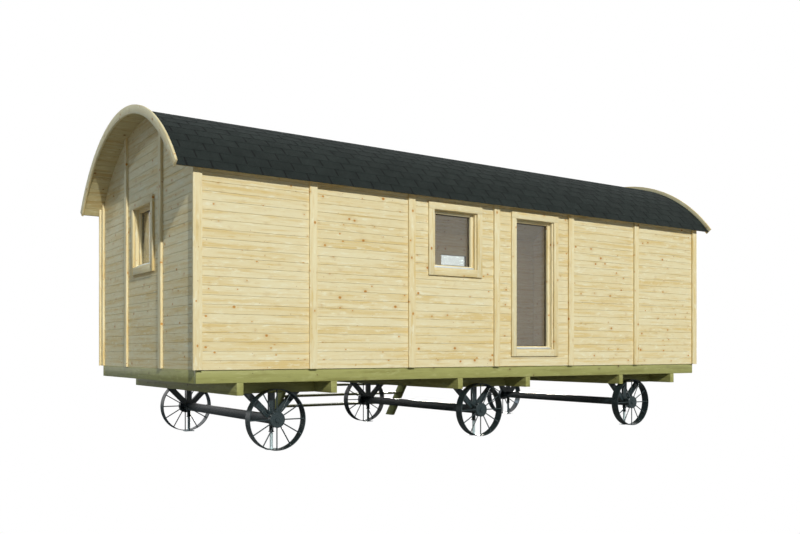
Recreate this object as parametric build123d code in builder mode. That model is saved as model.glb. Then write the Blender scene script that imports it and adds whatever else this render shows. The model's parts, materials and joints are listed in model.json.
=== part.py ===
"""Timber caravan: a boarded cabin with a barrel roof on three iron axles.

The cabin stands on the ground plane z = 0, with +X along its length, -Y towards
its windowed long side and +Z up. The origin lies on the ground, below the middle
of the whole outline, the entrance stair on the +Y side included. Millimetres.
"""

import os
from collections import namedtuple
from math import asin, cos, degrees, radians, sin

from build123d import *

# Cabin outline
PANEL_WIDTH = 1200.0
PANEL_COUNT = 6
WALL_WIDTH = 3226.0
WALL_THICKNESS = 100.0
WALL_BASE = 828.0

# Cover battens over the panel joints, and the boards at the corners
BATTEN_WIDTH = 86.0
BATTEN_THICKNESS = 25.0
CORNER_BOARD = 88.0
CORNER_PROUD = 22.0
GABLE_PANEL = 1200.0

# Roof: everything is an arc about one axis, which runs along the cabin
ROOF_RADIUS = 2150.0
ROOF_RISE = 2697.0
SHINGLE_THICKNESS = 5.0
DECK_THICKNESS = 20.0
EAVE_REACH = 80.0
SHINGLE_OVERHANG_ANGLE = 0.2
ROOF_SEAT_GAP = 0.4
BARGE_HEIGHT = 90.0
BARGE_UPSTAND = 42.0
BARGE_THICKNESS = 22.0
BARGE_REACH = 120.0
GABLE_EAVE = 200.0

# Timber underframe
FRAME_END_MARGIN = 5.0
WALL_OVERHANG = 16.0
FRAME_BEAM = (58.0, 126.0)
JOIST_COUNT = 3
JOIST_SPACING = 800.0
CROSS_BEAM = (70.0, 122.0)
CROSS_BEAM_OFFSET = 512.0
BEARER_WIDTH = 70.0
FLOOR_THICKNESS = 28.0

# Running gear
AXLE_SPACING = 2657.0
AXLE_COUNT = 3
WHEEL_SET_BACK = 236.0
WHEEL_RADIUS = 312.0
RIM_WIDTH = 110.0
RIM_THICKNESS = 8.0
SPOKE_COUNT = 12
SPOKE_RADIUS = 6.5
SPOKE_INSET = 30.0
SPOKE_SEAT_GAP = 0.1
HUB_RADIUS = 82.0
HUB_LENGTH = 66.0
HUB_INSET = 10.0
STUB_RADIUS = 28.0
STUB_PROUD = 14.0
BORE_CLEARANCE = 0.2
HUB_SIDE_GAP = 1.0
COLLAR_RADIUS = 42.0
AXLE_BEAM = (60.0, 95.0)
BRACKET_SET_BACK = 161.0
STRUT = (65.0, 40.0)
STRUT_LEAN = 45.0

# Jacks under the axle ends
JACK_TUBE_RADIUS = 22.5
JACK_FLANGE = (29.0, 8.0)
JACK_FLANGE_BASE = 180.0
JACK_SCREW_RADIUS = 17.0
JACK_FOOT = (120.0, 84.0, 8.0)

# Windows: the opening is the clear hole inside the casing
WINDOW_WIDTH = 607.0
WINDOW_HEIGHT = 640.0
WINDOW_SILL = 1928.0
TALL_WINDOW_HEIGHT = 1540.0
TALL_WINDOW_SILL = 1030.0
CASING_SIDE = 72.0
CASING_HEAD = 75.0
CASING_SILL = 85.0
CASING_PROUD = 25.0
LINING_THICKNESS = 20.0
LINING_STEP = 17.0
SASH_WIDTH = 36.0
SASH_THICKNESS = 60.0
SASH_RECESS = 37.0
PANE_THICKNESS = 24.0
PANE_RECESS = 28.0
RAIN_RAIL = (18.0, 18.0)
RAIN_RAIL_LIFT = 4.0

# Entrance: a pair of glazed leaves
DOOR_WIDTH = 1450.0
DOOR_HEIGHT = 1740.0
THRESHOLD = 32.0
DOOR_LEAF = 56.0
DOOR_RECESS = 20.0
DOOR_STILE = 110.0
DOOR_RAIL = 180.0
DOOR_GAP = 3.0
DOOR_STOP = 15.0
DOOR_SEAT_GAP = 0.3
HANDLE_HEIGHT = 1000.0
HANDLE_ROSE = (22.0, 10.0)
HANDLE_BAR = (8.0, 50.0)
HANDLE_LEVER = (125.0, 22.0, 12.0)

# Stair below the entrance
STAIR_X = -50.0
STAIR_WIDTH = 2095.0
STRINGER_THICKNESS = 45.0
STRINGER_DEPTH = 152.0
STAIR_LEAN = 53.1
STAIR_REACH = 613.0
TREAD_RISE = 150.0
TREAD_COUNT = 4
TREAD_DEPTH = 190.0
TREAD_THICKNESS = 30.0

# Places worked out from the dimensions above
WALL_LENGTH = PANEL_WIDTH * PANEL_COUNT
WALL_X = WALL_LENGTH / 2
WALL_Y = WALL_WIDTH / 2
FRAME_LENGTH = WALL_LENGTH + 2 * FRAME_END_MARGIN
FRAME_WIDTH = WALL_WIDTH - 2 * WALL_OVERHANG
ROOF_AXIS = WALL_BASE + ROOF_RISE - ROOF_RADIUS
DECK_OUTER = ROOF_RADIUS - SHINGLE_THICKNESS
DECK_INNER = DECK_OUTER - DECK_THICKNESS
UNDER_ROOF = DECK_INNER - ROOF_SEAT_GAP
ROOF_HALF_ANGLE = degrees(asin((WALL_Y + EAVE_REACH) / DECK_OUTER))
BARGE_OUTER = ROOF_RADIUS + BARGE_UPSTAND
BARGE_HALF_ANGLE = degrees(asin((WALL_Y + BARGE_REACH) / BARGE_OUTER))
BARGE_FACE = WALL_X + BATTEN_THICKNESS + CORNER_PROUD + GABLE_EAVE
FRAME_BASE = WALL_BASE - FRAME_BEAM[1]
CROSS_BASE = FRAME_BASE - CROSS_BEAM[1]
AXLE_Z = WHEEL_RADIUS
AXLES = [AXLE_SPACING * (i - (AXLE_COUNT - 1) / 2) for i in range(AXLE_COUNT)]
WHEEL_FACE = FRAME_WIDTH / 2 - WHEEL_SET_BACK
BRACKET_CENTRE = WHEEL_FACE - BRACKET_SET_BACK
BRACKET_BASE = AXLE_Z - AXLE_BEAM[1] / 2
STAIR_FOOT = FRAME_WIDTH / 2 + STAIR_REACH
BODY_Y = (WALL_Y + BARGE_REACH - STAIR_FOOT) / 2
DOOR_HEAD = WALL_BASE + THRESHOLD + DOOR_HEIGHT
SIDES = {"near": -1, "far": 1}


def plan(z):
    """Level plane at height z, centred on the cabin."""
    return Plane(origin=(0, BODY_Y, z))


def cross_section(x):
    """Upright plane across the cabin at x, facing +X."""
    return Plane(origin=(x, BODY_Y, 0), x_dir=(0, 1, 0), z_dir=(1, 0, 0))


def outward(side, y, x=0.0, z=0.0):
    """Upright plane along the cabin on one side, facing away from its middle."""
    return Plane(origin=(x, BODY_Y + side * y, z), x_dir=(-side, 0, 0), z_dir=(0, side, 0))


def gable_face(end):
    """Upright plane on the outer face of one gable, facing outwards."""
    return Plane(origin=(end * WALL_X, BODY_Y, 0), x_dir=(0, end, 0), z_dir=(end, 0, 0))


def save(piece, name):
    """Label a finished piece and write it to its file."""
    piece.part.label = name
    export_step(piece.part, f"parts/{name}.step")


Window = namedtuple("Window", "face along sill height")
WINDOWS = {
    "front_wall": [
        Window(outward(-1, WALL_Y), -PANEL_WIDTH / 2, WINDOW_SILL, WINDOW_HEIGHT),
        Window(outward(-1, WALL_Y), PANEL_WIDTH / 2, TALL_WINDOW_SILL, TALL_WINDOW_HEIGHT),
    ],
    "back_wall_right": [
        Window(outward(1, WALL_Y), -PANEL_WIDTH * 1.5, WINDOW_SILL, WINDOW_HEIGHT)
    ],
    "left_gable": [Window(gable_face(-1), 0.0, WINDOW_SILL, WINDOW_HEIGHT)],
    "right_gable": [Window(gable_face(1), 0.0, WINDOW_SILL, WINDOW_HEIGHT)],
}
ALL_WINDOWS = [window for group in WINDOWS.values() for window in group]


def roof_band(inner, outer, half_angle):
    """Arched band between two radii about the roof's axis, in a cross section."""
    reach = 2 * outer
    tip = (reach * sin(radians(half_angle)), reach * cos(radians(half_angle)))
    with Locations((0, ROOF_AXIS)):
        Circle(outer)
        Circle(inner, mode=Mode.SUBTRACT)
        Polygon((0, 0), tip, (-tip[0], tip[1]), align=None, mode=Mode.INTERSECT)


def upright(y0, y1, base=WALL_BASE):
    """Upright strip from y0 to y1 that ends under the roof, in a cross section."""
    top = ROOF_AXIS + UNDER_ROOF
    with Locations(((y0 + y1) / 2, (base + top) / 2)):
        Rectangle(abs(y1 - y0), top - base)
    with Locations((0, ROOF_AXIS)):
        Circle(UNDER_ROOF, mode=Mode.INTERSECT)


def opening(window, side, head, sill, mode=Mode.ADD):
    """A window's opening, made larger by a margin at each side, the head and the sill."""
    with Locations((window.along, window.sill + (window.height + head - sill) / 2)):
        Rectangle(WINDOW_WIDTH + 2 * side, window.height + head + sill, mode=mode)


def lining_hole(window):
    """Hole in the wall for a window's lining."""
    opening(window, LINING_THICKNESS, LINING_THICKNESS, LINING_THICKNESS)


def underframe():
    """Beams round the floor, joists, cross beams and the bearers over the axles."""
    width, height = FRAME_BEAM
    with BuildPart() as side_beams:
        with BuildSketch(plan(FRAME_BASE)):
            with GridLocations(0, FRAME_WIDTH - width, 1, 2):
                Rectangle(FRAME_LENGTH, width)
        extrude(amount=height)
    save(side_beams, "side_beams")

    with BuildPart() as end_beams:
        with BuildSketch(plan(FRAME_BASE)):
            with GridLocations(FRAME_LENGTH - width, 0, 2, 1):
                Rectangle(width, FRAME_WIDTH - 2 * width)
        extrude(amount=height)
    save(end_beams, "end_beams")

    with BuildPart() as floor_joists:
        with BuildSketch(plan(FRAME_BASE)):
            with GridLocations(0, JOIST_SPACING, 1, JOIST_COUNT):
                Rectangle(FRAME_LENGTH - 2 * width, width)
        extrude(amount=height)
    save(floor_joists, "floor_joists")

    with BuildPart() as cross_beams:
        with BuildSketch(plan(CROSS_BASE)):
            for x in AXLES:
                with Locations((x - CROSS_BEAM_OFFSET, 0), (x + CROSS_BEAM_OFFSET, 0)):
                    Rectangle(CROSS_BEAM[0], FRAME_WIDTH)
        extrude(amount=CROSS_BEAM[1])
    save(cross_beams, "cross_beams")

    with BuildPart() as axle_bearers:
        with BuildSketch(plan(CROSS_BASE)):
            with GridLocations(AXLE_SPACING, 2 * BRACKET_CENTRE, AXLE_COUNT, 2):
                Rectangle(2 * CROSS_BEAM_OFFSET - CROSS_BEAM[0], BEARER_WIDTH)
        extrude(amount=CROSS_BEAM[1])
    save(axle_bearers, "axle_bearers")

    with BuildPart() as floor:
        with BuildSketch(plan(WALL_BASE)):
            Rectangle(WALL_LENGTH - 2 * WALL_THICKNESS, WALL_WIDTH - 2 * WALL_THICKNESS)
        extrude(amount=FLOOR_THICKNESS)
    save(floor, "floor")


def long_wall(name, side, x0, x1, base=WALL_BASE):
    """Stretch of a long wall from x0 to x1, with its top cut to the roof's arc."""
    with BuildPart() as wall:
        with BuildSketch(cross_section(x0)):
            upright(side * (WALL_Y - WALL_THICKNESS), side * WALL_Y, base)
        extrude(amount=x1 - x0)
        for window in WINDOWS.get(name, []):
            with BuildSketch(window.face):
                lining_hole(window)
            extrude(amount=WALL_THICKNESS + 1, both=True, mode=Mode.SUBTRACT)
    save(wall, name)


def gable(name, end):
    """End wall between the long walls, arched to fill the roof."""
    inner = WALL_Y - WALL_THICKNESS
    with BuildPart() as wall:
        with BuildSketch(cross_section(end * (WALL_X - WALL_THICKNESS / 2))):
            upright(-inner, inner)
        extrude(amount=WALL_THICKNESS / 2, both=True)
        for window in WINDOWS[name]:
            with BuildSketch(window.face):
                lining_hole(window)
            extrude(amount=WALL_THICKNESS + 1, both=True, mode=Mode.SUBTRACT)
    save(wall, name)


def walls():
    """The four walls; the back one is split round the entrance."""
    door_edge = DOOR_WIDTH / 2 + LINING_THICKNESS
    long_wall("front_wall", -1, -WALL_X, WALL_X)
    long_wall("back_wall_left", 1, -WALL_X, -door_edge)
    long_wall("back_wall_right", 1, door_edge, WALL_X)
    long_wall("back_wall_over_door", 1, -door_edge, door_edge, DOOR_HEAD + LINING_THICKNESS)
    gable("left_gable", -1)
    gable("right_gable", 1)


def long_battens(name, side, places):
    """Cover battens over the panel joints of a long wall, and its corner boards."""
    end = WALL_X + BATTEN_THICKNESS + CORNER_PROUD
    spans = [(x - BATTEN_WIDTH / 2, x + BATTEN_WIDTH / 2) for x in places]
    spans += [(-end, CORNER_BOARD - end), (end - CORNER_BOARD, end)]
    with BuildPart() as battens:
        for x0, x1 in spans:
            with BuildSketch(cross_section(x0)):
                upright(side * WALL_Y, side * (WALL_Y + BATTEN_THICKNESS))
            extrude(amount=x1 - x0)
    save(battens, name)


def gable_battens(name, end):
    """Two cover battens and two corner battens on a gable, cut to the roof's arc."""
    half = BATTEN_WIDTH / 2
    joint = GABLE_PANEL / 2
    corner = WALL_Y + BATTEN_THICKNESS - CORNER_BOARD
    spans = [(joint - half, joint + half), (corner, WALL_Y)]
    with BuildPart() as battens:
        for y0, y1 in spans:
            for side in SIDES.values():
                with BuildSketch(cross_section(end * (WALL_X + BATTEN_THICKNESS / 2))):
                    upright(side * y0, side * y1)
                extrude(amount=BATTEN_THICKNESS / 2, both=True)
    save(battens, name)


def all_battens():
    """Battens and corner boards of the four walls."""
    joints = [PANEL_WIDTH * (i - PANEL_COUNT / 2) for i in range(1, PANEL_COUNT)]
    clear_of_door = [x for x in joints if abs(x) > DOOR_WIDTH / 2 + CASING_SIDE]
    long_battens("front_battens", -1, joints)
    long_battens("back_battens", 1, clear_of_door)
    gable_battens("left_gable_battens", -1)
    gable_battens("right_gable_battens", 1)


def roof():
    """Boarded deck, its shingle skin and an arched barge board at each end."""
    deck_end = BARGE_FACE - BARGE_THICKNESS
    with BuildPart() as roof_deck:
        with BuildSketch(cross_section(0)):
            roof_band(DECK_INNER, DECK_OUTER, ROOF_HALF_ANGLE)
        extrude(amount=deck_end, both=True)
    save(roof_deck, "roof_deck")

    with BuildPart() as roof_shingles:
        with BuildSketch(cross_section(0)):
            roof_band(DECK_OUTER, ROOF_RADIUS, ROOF_HALF_ANGLE + SHINGLE_OVERHANG_ANGLE)
        extrude(amount=deck_end, both=True)
    save(roof_shingles, "roof_shingles")

    for name, x0 in (("left_barge_board", -BARGE_FACE), ("right_barge_board", deck_end)):
        with BuildPart() as barge_board:
            with BuildSketch(cross_section(x0)):
                roof_band(BARGE_OUTER - BARGE_HEIGHT, BARGE_OUTER, BARGE_HALF_ANGLE)
            extrude(amount=BARGE_THICKNESS)
        save(barge_board, name)


def ring(window, outer, inner):
    """Ring about a window's opening, between two sets of side, head and sill margins."""
    opening(window, *outer)
    opening(window, *inner, mode=Mode.SUBTRACT)


def windows():
    """Casings with linings, sashes, panes and rain rails of every window."""
    casing = (CASING_SIDE, CASING_HEAD, CASING_SILL)
    clear = (0.0, 0.0, 0.0)
    lining = (LINING_THICKNESS,) * 3
    step = (-LINING_STEP, 0.0, 0.0)
    light = tuple(margin - SASH_WIDTH for margin in step)
    with BuildPart() as window_frames:
        for window in ALL_WINDOWS:
            with BuildSketch(window.face):
                ring(window, casing, clear)
            extrude(amount=CASING_PROUD)
            with BuildSketch(window.face):
                ring(window, lining, step)
            extrude(amount=-WALL_THICKNESS)
    save(window_frames, "window_frames")

    with BuildPart() as window_sashes:
        for window in ALL_WINDOWS:
            with BuildSketch(window.face.offset(-SASH_RECESS)):
                ring(window, step, light)
            extrude(amount=-SASH_THICKNESS)
    save(window_sashes, "window_sashes")

    with BuildPart() as window_panes:
        for window in ALL_WINDOWS:
            with BuildSketch(window.face.offset(-SASH_RECESS - PANE_RECESS)):
                opening(window, *light)
            extrude(amount=-PANE_THICKNESS)
    save(window_panes, "window_panes")

    with BuildPart() as rain_rails:
        for window in ALL_WINDOWS:
            with BuildSketch(window.face.offset(-SASH_RECESS)):
                with Locations((window.along, window.sill + RAIN_RAIL_LIFT + RAIN_RAIL[1] / 2)):
                    Rectangle(WINDOW_WIDTH - 2 * LINING_STEP, RAIN_RAIL[1])
            extrude(amount=RAIN_RAIL[0])
    save(rain_rails, "rain_rails")


def door_frame():
    """Casing, lining, stops and threshold round the entrance."""
    face = outward(1, WALL_Y)
    stop_face = DOOR_RECESS + DOOR_LEAF + DOOR_SEAT_GAP
    hole = DOOR_HEAD - WALL_BASE
    with BuildPart() as frame:
        for side, head, depth in (
            (CASING_SIDE, CASING_HEAD, CASING_PROUD),
            (LINING_THICKNESS, LINING_THICKNESS, -WALL_THICKNESS),
        ):
            with BuildSketch(face):
                with Locations((0, WALL_BASE)):
                    Rectangle(
                        DOOR_WIDTH + 2 * side, hole + head, align=(Align.CENTER, Align.MIN)
                    )
                    Rectangle(
                        DOOR_WIDTH, hole, align=(Align.CENTER, Align.MIN), mode=Mode.SUBTRACT
                    )
            extrude(amount=depth)
        with BuildSketch(face.offset(-stop_face)):
            with Locations((0, WALL_BASE)):
                Rectangle(DOOR_WIDTH, hole, align=(Align.CENTER, Align.MIN))
                Rectangle(
                    DOOR_WIDTH - 2 * DOOR_STOP, hole - DOOR_STOP,
                    align=(Align.CENTER, Align.MIN), mode=Mode.SUBTRACT,
                )
        extrude(amount=stop_face - WALL_THICKNESS)
        with BuildSketch(face.offset(CASING_PROUD)):
            with Locations((0, WALL_BASE + THRESHOLD / 2)):
                Rectangle(DOOR_WIDTH, THRESHOLD)
        extrude(amount=-(WALL_THICKNESS + CASING_PROUD))
    save(frame, "door_frame")


def door_leaf(name, hand):
    """One glazed leaf; returns the middle of its pane along the wall's face."""
    width = (DOOR_WIDTH - 3 * DOOR_GAP) / 2
    height = DOOR_HEIGHT - 2 * DOOR_GAP
    middle = hand * (width + DOOR_GAP) / 2
    base = WALL_BASE + THRESHOLD + DOOR_GAP
    with BuildPart() as leaf:
        with BuildSketch(outward(1, WALL_Y).offset(-DOOR_RECESS)):
            with Locations((middle, base + height / 2)):
                Rectangle(width, height)
                Rectangle(width - 2 * DOOR_STILE, height - 2 * DOOR_RAIL, mode=Mode.SUBTRACT)
        extrude(amount=-DOOR_LEAF)
    save(leaf, name)
    return middle, base + height / 2, width - 2 * DOOR_STILE, height - 2 * DOOR_RAIL


def entrance():
    """Door frame, the two leaves, their panes and the handle."""
    door_frame()
    lights = [door_leaf("left_door_leaf", 1), door_leaf("right_door_leaf", -1)]
    pane_front = DOOR_RECESS + (DOOR_LEAF - PANE_THICKNESS) / 2
    with BuildPart() as door_panes:
        for x, z, width, height in lights:
            with BuildSketch(outward(1, WALL_Y).offset(-pane_front)):
                with Locations((x, z)):
                    Rectangle(width, height)
            extrude(amount=-PANE_THICKNESS)
    save(door_panes, "door_panes")

    rose_radius, rose_depth = HANDLE_ROSE
    bar_radius, reach = HANDLE_BAR
    length, height, depth = HANDLE_LEVER
    stile = DOOR_GAP / 2 + DOOR_STILE / 2
    grip = outward(1, WALL_Y - DOOR_RECESS, x=stile, z=WALL_BASE + HANDLE_HEIGHT)
    with BuildPart() as door_handle:
        with BuildSketch(grip):
            Circle(rose_radius)
        extrude(amount=rose_depth)
        with BuildSketch(grip):
            Circle(bar_radius)
        extrude(amount=reach)
        with BuildSketch(grip.offset(reach)):
            with Locations(((height - length) / 2, 0)):
                Rectangle(length, height)
        extrude(amount=-depth)
    save(door_handle, "door_handle")


def stair():
    """Two stringers that lean on the side beam, and the treads between them."""
    lean = radians(STAIR_LEAN)
    width = STRINGER_DEPTH / sin(lean)
    slope = cos(lean) / sin(lean)
    wall = FRAME_WIDTH / 2
    profile = [
        (STAIR_FOOT, 0),
        (wall, (STAIR_FOOT - wall) / slope),
        (wall, (STAIR_FOOT - width - wall) / slope),
        (STAIR_FOOT - width, 0),
    ]
    half = STAIR_WIDTH / 2 - STRINGER_THICKNESS / 2
    with BuildPart() as stair_stringers:
        for x in (STAIR_X - half, STAIR_X + half):
            with BuildSketch(cross_section(x)):
                Polygon(*profile, align=None)
            extrude(amount=STRINGER_THICKNESS / 2, both=True)
    save(stair_stringers, "stair_stringers")

    with BuildPart() as stair_treads:
        for i in range(TREAD_COUNT):
            top = WALL_BASE - TREAD_RISE * (TREAD_COUNT - i)
            nose = STAIR_FOOT - top * slope
            back = max(nose - TREAD_DEPTH, wall)
            with BuildSketch(cross_section(STAIR_X)):
                with Locations(((nose + back) / 2, top - TREAD_THICKNESS / 2)):
                    Rectangle(nose - back, TREAD_THICKNESS)
            extrude(amount=STAIR_WIDTH / 2 - STRINGER_THICKNESS, both=True)
    save(stair_treads, "stair_treads")


def strut_outline():
    """Upright strut and the two leaning ones, seen along the axle from its centre."""
    width = STRUT[0]
    rise = CROSS_BASE - AXLE_Z
    lean = radians(STRUT_LEAN)
    half = width / 2 / cos(lean)
    run = rise * sin(lean) / cos(lean)
    with Locations((0, (CROSS_BASE + BRACKET_BASE) / 2 - AXLE_Z)):
        Rectangle(width, CROSS_BASE - BRACKET_BASE)
    for hand in (-1, 1):
        top = hand * run
        Polygon((-half, 0), (half, 0), (top + half, rise), (top - half, rise), align=None)


def axles():
    """Axle beams, their end brackets, and the jacks below the brackets."""
    with BuildPart() as axle_beams:
        for x in AXLES:
            with BuildSketch(plan(BRACKET_BASE)):
                with Locations((x, 0)):
                    Rectangle(AXLE_BEAM[0], 2 * BRACKET_CENTRE - STRUT[1])
            extrude(amount=AXLE_BEAM[1])
    save(axle_beams, "axle_beams")

    depth = STRUT[1]
    shoulder = BRACKET_CENTRE + depth / 2
    hub_back = WHEEL_FACE - HUB_INSET - HUB_LENGTH - HUB_SIDE_GAP
    stub_end = WHEEL_FACE - HUB_INSET + STUB_PROUD
    with BuildPart() as axle_brackets:
        for x in AXLES:
            for side in SIDES.values():
                with BuildSketch(outward(side, BRACKET_CENTRE - depth / 2, x, AXLE_Z)):
                    strut_outline()
                extrude(amount=depth)
                with BuildSketch(outward(side, shoulder, x, AXLE_Z)):
                    Circle(COLLAR_RADIUS)
                extrude(amount=hub_back - shoulder)
                with BuildSketch(outward(side, shoulder, x, AXLE_Z)):
                    Circle(STUB_RADIUS)
                extrude(amount=stub_end - shoulder)
    save(axle_brackets, "axle_brackets")

    jack_places = GridLocations(AXLE_SPACING, 2 * BRACKET_CENTRE, AXLE_COUNT, 2)
    flange_radius, flange_height = JACK_FLANGE
    foot_length, foot_width, foot_height = JACK_FOOT
    with BuildPart() as jack_tubes:
        for radius, height in (
            (flange_radius, flange_height),
            (JACK_TUBE_RADIUS, BRACKET_BASE - JACK_FLANGE_BASE),
        ):
            with BuildSketch(plan(JACK_FLANGE_BASE)):
                with jack_places:
                    Circle(radius)
            extrude(amount=height)
    save(jack_tubes, "jack_tubes")

    with BuildPart() as jack_feet:
        with BuildSketch(plan(0)):
            with jack_places:
                Rectangle(foot_length, foot_width)
        extrude(amount=foot_height)
        with BuildSketch(plan(0)):
            with jack_places:
                Circle(JACK_SCREW_RADIUS)
        extrude(amount=JACK_FLANGE_BASE)
    save(jack_feet, "jack_feet")


def wheel(number, x, name, side):
    """Iron wheel: a flat band, and a drum hub with round spokes."""
    prefix = f"{name}_wheel_{number}"
    inner = WHEEL_RADIUS - RIM_THICKNESS
    with BuildPart() as rim:
        with BuildSketch(outward(side, WHEEL_FACE - RIM_WIDTH, x, AXLE_Z)):
            Circle(WHEEL_RADIUS)
            Circle(inner, mode=Mode.SUBTRACT)
        extrude(amount=RIM_WIDTH)
    save(rim, f"{prefix}_rim")

    hub_face = WHEEL_FACE - HUB_INSET
    spoke_y = BODY_Y + side * (WHEEL_FACE - SPOKE_INSET)
    with BuildPart() as spokes:
        with BuildSketch(outward(side, hub_face - HUB_LENGTH, x, AXLE_Z)):
            Circle(HUB_RADIUS)
        extrude(amount=HUB_LENGTH)
        for i in range(SPOKE_COUNT):
            angle = radians(360 * i / SPOKE_COUNT)
            along = Vector(cos(angle), 0, sin(angle))
            start = Vector(x, spoke_y, AXLE_Z) + along * (HUB_RADIUS - 2 * SPOKE_RADIUS)
            with BuildSketch(Plane(origin=start, z_dir=along)):
                Circle(SPOKE_RADIUS)
            extrude(amount=inner - SPOKE_SEAT_GAP - HUB_RADIUS + 2 * SPOKE_RADIUS)
        with BuildSketch(outward(side, hub_face - HUB_LENGTH, x, AXLE_Z)):
            Circle(STUB_RADIUS + BORE_CLEARANCE)
        extrude(amount=HUB_LENGTH, mode=Mode.SUBTRACT)
    save(spokes, f"{prefix}_spokes")


def main():
    """Build every piece and write it to parts/."""
    os.makedirs("parts", exist_ok=True)
    underframe()
    walls()
    all_battens()
    roof()
    windows()
    entrance()
    stair()
    axles()
    for number, x in enumerate(AXLES, start=1):
        for name, side in SIDES.items():
            wheel(number, x, name, side)


if __name__ == "__main__":
    main()
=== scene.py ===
"""Looks of a timber caravan: boards, shingles, ironwork and finishes round its fixed frame.

Metres, in the frame's own axes: +X along the cabin, -Y towards the windowed long side,
+Z up. Places come from the frame's boxes, and sizes of trim are fields of each class.
"""

import json
import logging
import random
from collections.abc import Callable, Iterable
from dataclasses import Field, dataclass, field
from enum import Enum
from math import cos, pi, radians, sin

import bmesh
import bpy
from bmesh.types import BMEdge, BMesh
from mathutils import Matrix, Vector

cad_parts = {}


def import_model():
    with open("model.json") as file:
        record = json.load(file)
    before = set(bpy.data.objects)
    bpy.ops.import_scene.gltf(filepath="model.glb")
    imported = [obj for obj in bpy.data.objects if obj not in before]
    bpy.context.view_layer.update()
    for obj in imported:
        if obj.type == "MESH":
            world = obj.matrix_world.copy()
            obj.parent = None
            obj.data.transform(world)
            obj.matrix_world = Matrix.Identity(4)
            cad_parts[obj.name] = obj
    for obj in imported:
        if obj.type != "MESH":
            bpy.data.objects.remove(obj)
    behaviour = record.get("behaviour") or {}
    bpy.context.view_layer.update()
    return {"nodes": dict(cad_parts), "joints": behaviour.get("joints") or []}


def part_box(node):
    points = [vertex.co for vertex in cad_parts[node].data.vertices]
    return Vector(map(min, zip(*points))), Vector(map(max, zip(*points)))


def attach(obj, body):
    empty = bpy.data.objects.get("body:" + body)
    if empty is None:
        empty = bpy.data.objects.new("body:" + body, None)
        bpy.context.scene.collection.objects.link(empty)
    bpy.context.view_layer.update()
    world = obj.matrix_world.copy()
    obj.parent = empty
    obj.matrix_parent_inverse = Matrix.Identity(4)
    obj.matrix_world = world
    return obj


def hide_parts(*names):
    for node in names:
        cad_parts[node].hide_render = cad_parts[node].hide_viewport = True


LOG = logging.getLogger("caravan")
MM = 0.001
TOUCH = 0.01 * MM
SHARP = radians(28)
FLAT = radians(0.5)
BODY = "caravan"

Colour = tuple[float, float, float]
Triple = tuple[float, float, float]
Material = bpy.types.Material
Socket = bpy.types.NodeSocket
GrainRule = Callable[[Vector], Vector]
Nodes = dict[str, bpy.types.Object]
WHITE: Colour = (1.0, 1.0, 1.0)


def srgb(red: int, green: int, blue: int) -> Colour:
    """Turn a display colour from 0 to 255 into linear light.

    Args:
        red: Red part of the display colour.
        green: Green part.
        blue: Blue part.

    Returns:
        The three parts in linear light, from 0 to 1.
    """
    parts = (part / 255 for part in (red, green, blue))
    return tuple(p / 12.92 if p <= 0.04045 else ((p + 0.055) / 1.055) ** 2.4 for p in parts)


class Axis(Enum):
    """Direction in which fibres run or a shape is turned."""

    X = (1, 0, 0)
    Y = (0, 1, 0)
    Z = (0, 0, 1)

    @property
    def vector(self) -> Vector:
        """The direction as a unit vector."""
        return Vector(self.value)

    @property
    def index(self) -> int:
        """Place of the direction in a vector."""
        return self.value.index(1)


# ---------------------------------------------------------------- shader building


class Signal:
    """A number that changes over a surface; arithmetic on it adds Math nodes."""

    def __init__(self, shader: "Shader", socket: Socket) -> None:
        """Wrap a socket.

        Args:
            shader: The shader whose tree holds the socket.
            socket: The output that carries the number.
        """
        self.shader = shader
        self.socket = socket

    def math(self, operation: str, *values: "Signal | float", first: bool = True) -> "Signal":
        """Add a Math node.

        Args:
            operation: The node's operation.
            values: The other numbers that it takes.
            first: Whether this signal is the first number.

        Returns:
            The node's result.
        """
        numbers = (self, *values) if first else (*values, self)
        node = self.shader.add(
            "ShaderNodeMath", {"operation": operation}, dict(enumerate(numbers))
        )
        return Signal(self.shader, node.outputs[0])

    def __add__(self, other: "Signal | float") -> "Signal":
        """Sum."""
        return self.math("ADD", other)

    __radd__ = __add__

    def __mul__(self, other: "Signal | float") -> "Signal":
        """Product."""
        return self.math("MULTIPLY", other)

    __rmul__ = __mul__

    def __sub__(self, other: "Signal | float") -> "Signal":
        """Difference."""
        return self.math("SUBTRACT", other)

    def __rsub__(self, other: float) -> "Signal":
        """Difference from a number."""
        return self.math("SUBTRACT", other, first=False)

    def __pow__(self, other: float) -> "Signal":
        """Power."""
        return self.math("POWER", other)

    def sine(self) -> "Signal":
        """Sine, from -1 to 1."""
        return self.math("SINE")

    def ramp(self, low: float, high: float, out: tuple[float, float] = (0.0, 1.0)) -> "Signal":
        """Smooth step between two levels.

        Args:
            low: Level at and below which the result is out[0].
            high: Level at and above which it is out[1].
            out: The two results.

        Returns:
            The stepped signal.
        """
        node = self.shader.add(
            "ShaderNodeMapRange",
            {"interpolation_type": "SMOOTHSTEP"},
            {"Value": self, "From Min": low, "From Max": high, "To Min": out[0], "To Max": out[1]},
        )
        return Signal(self.shader, node.outputs[0])


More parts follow.
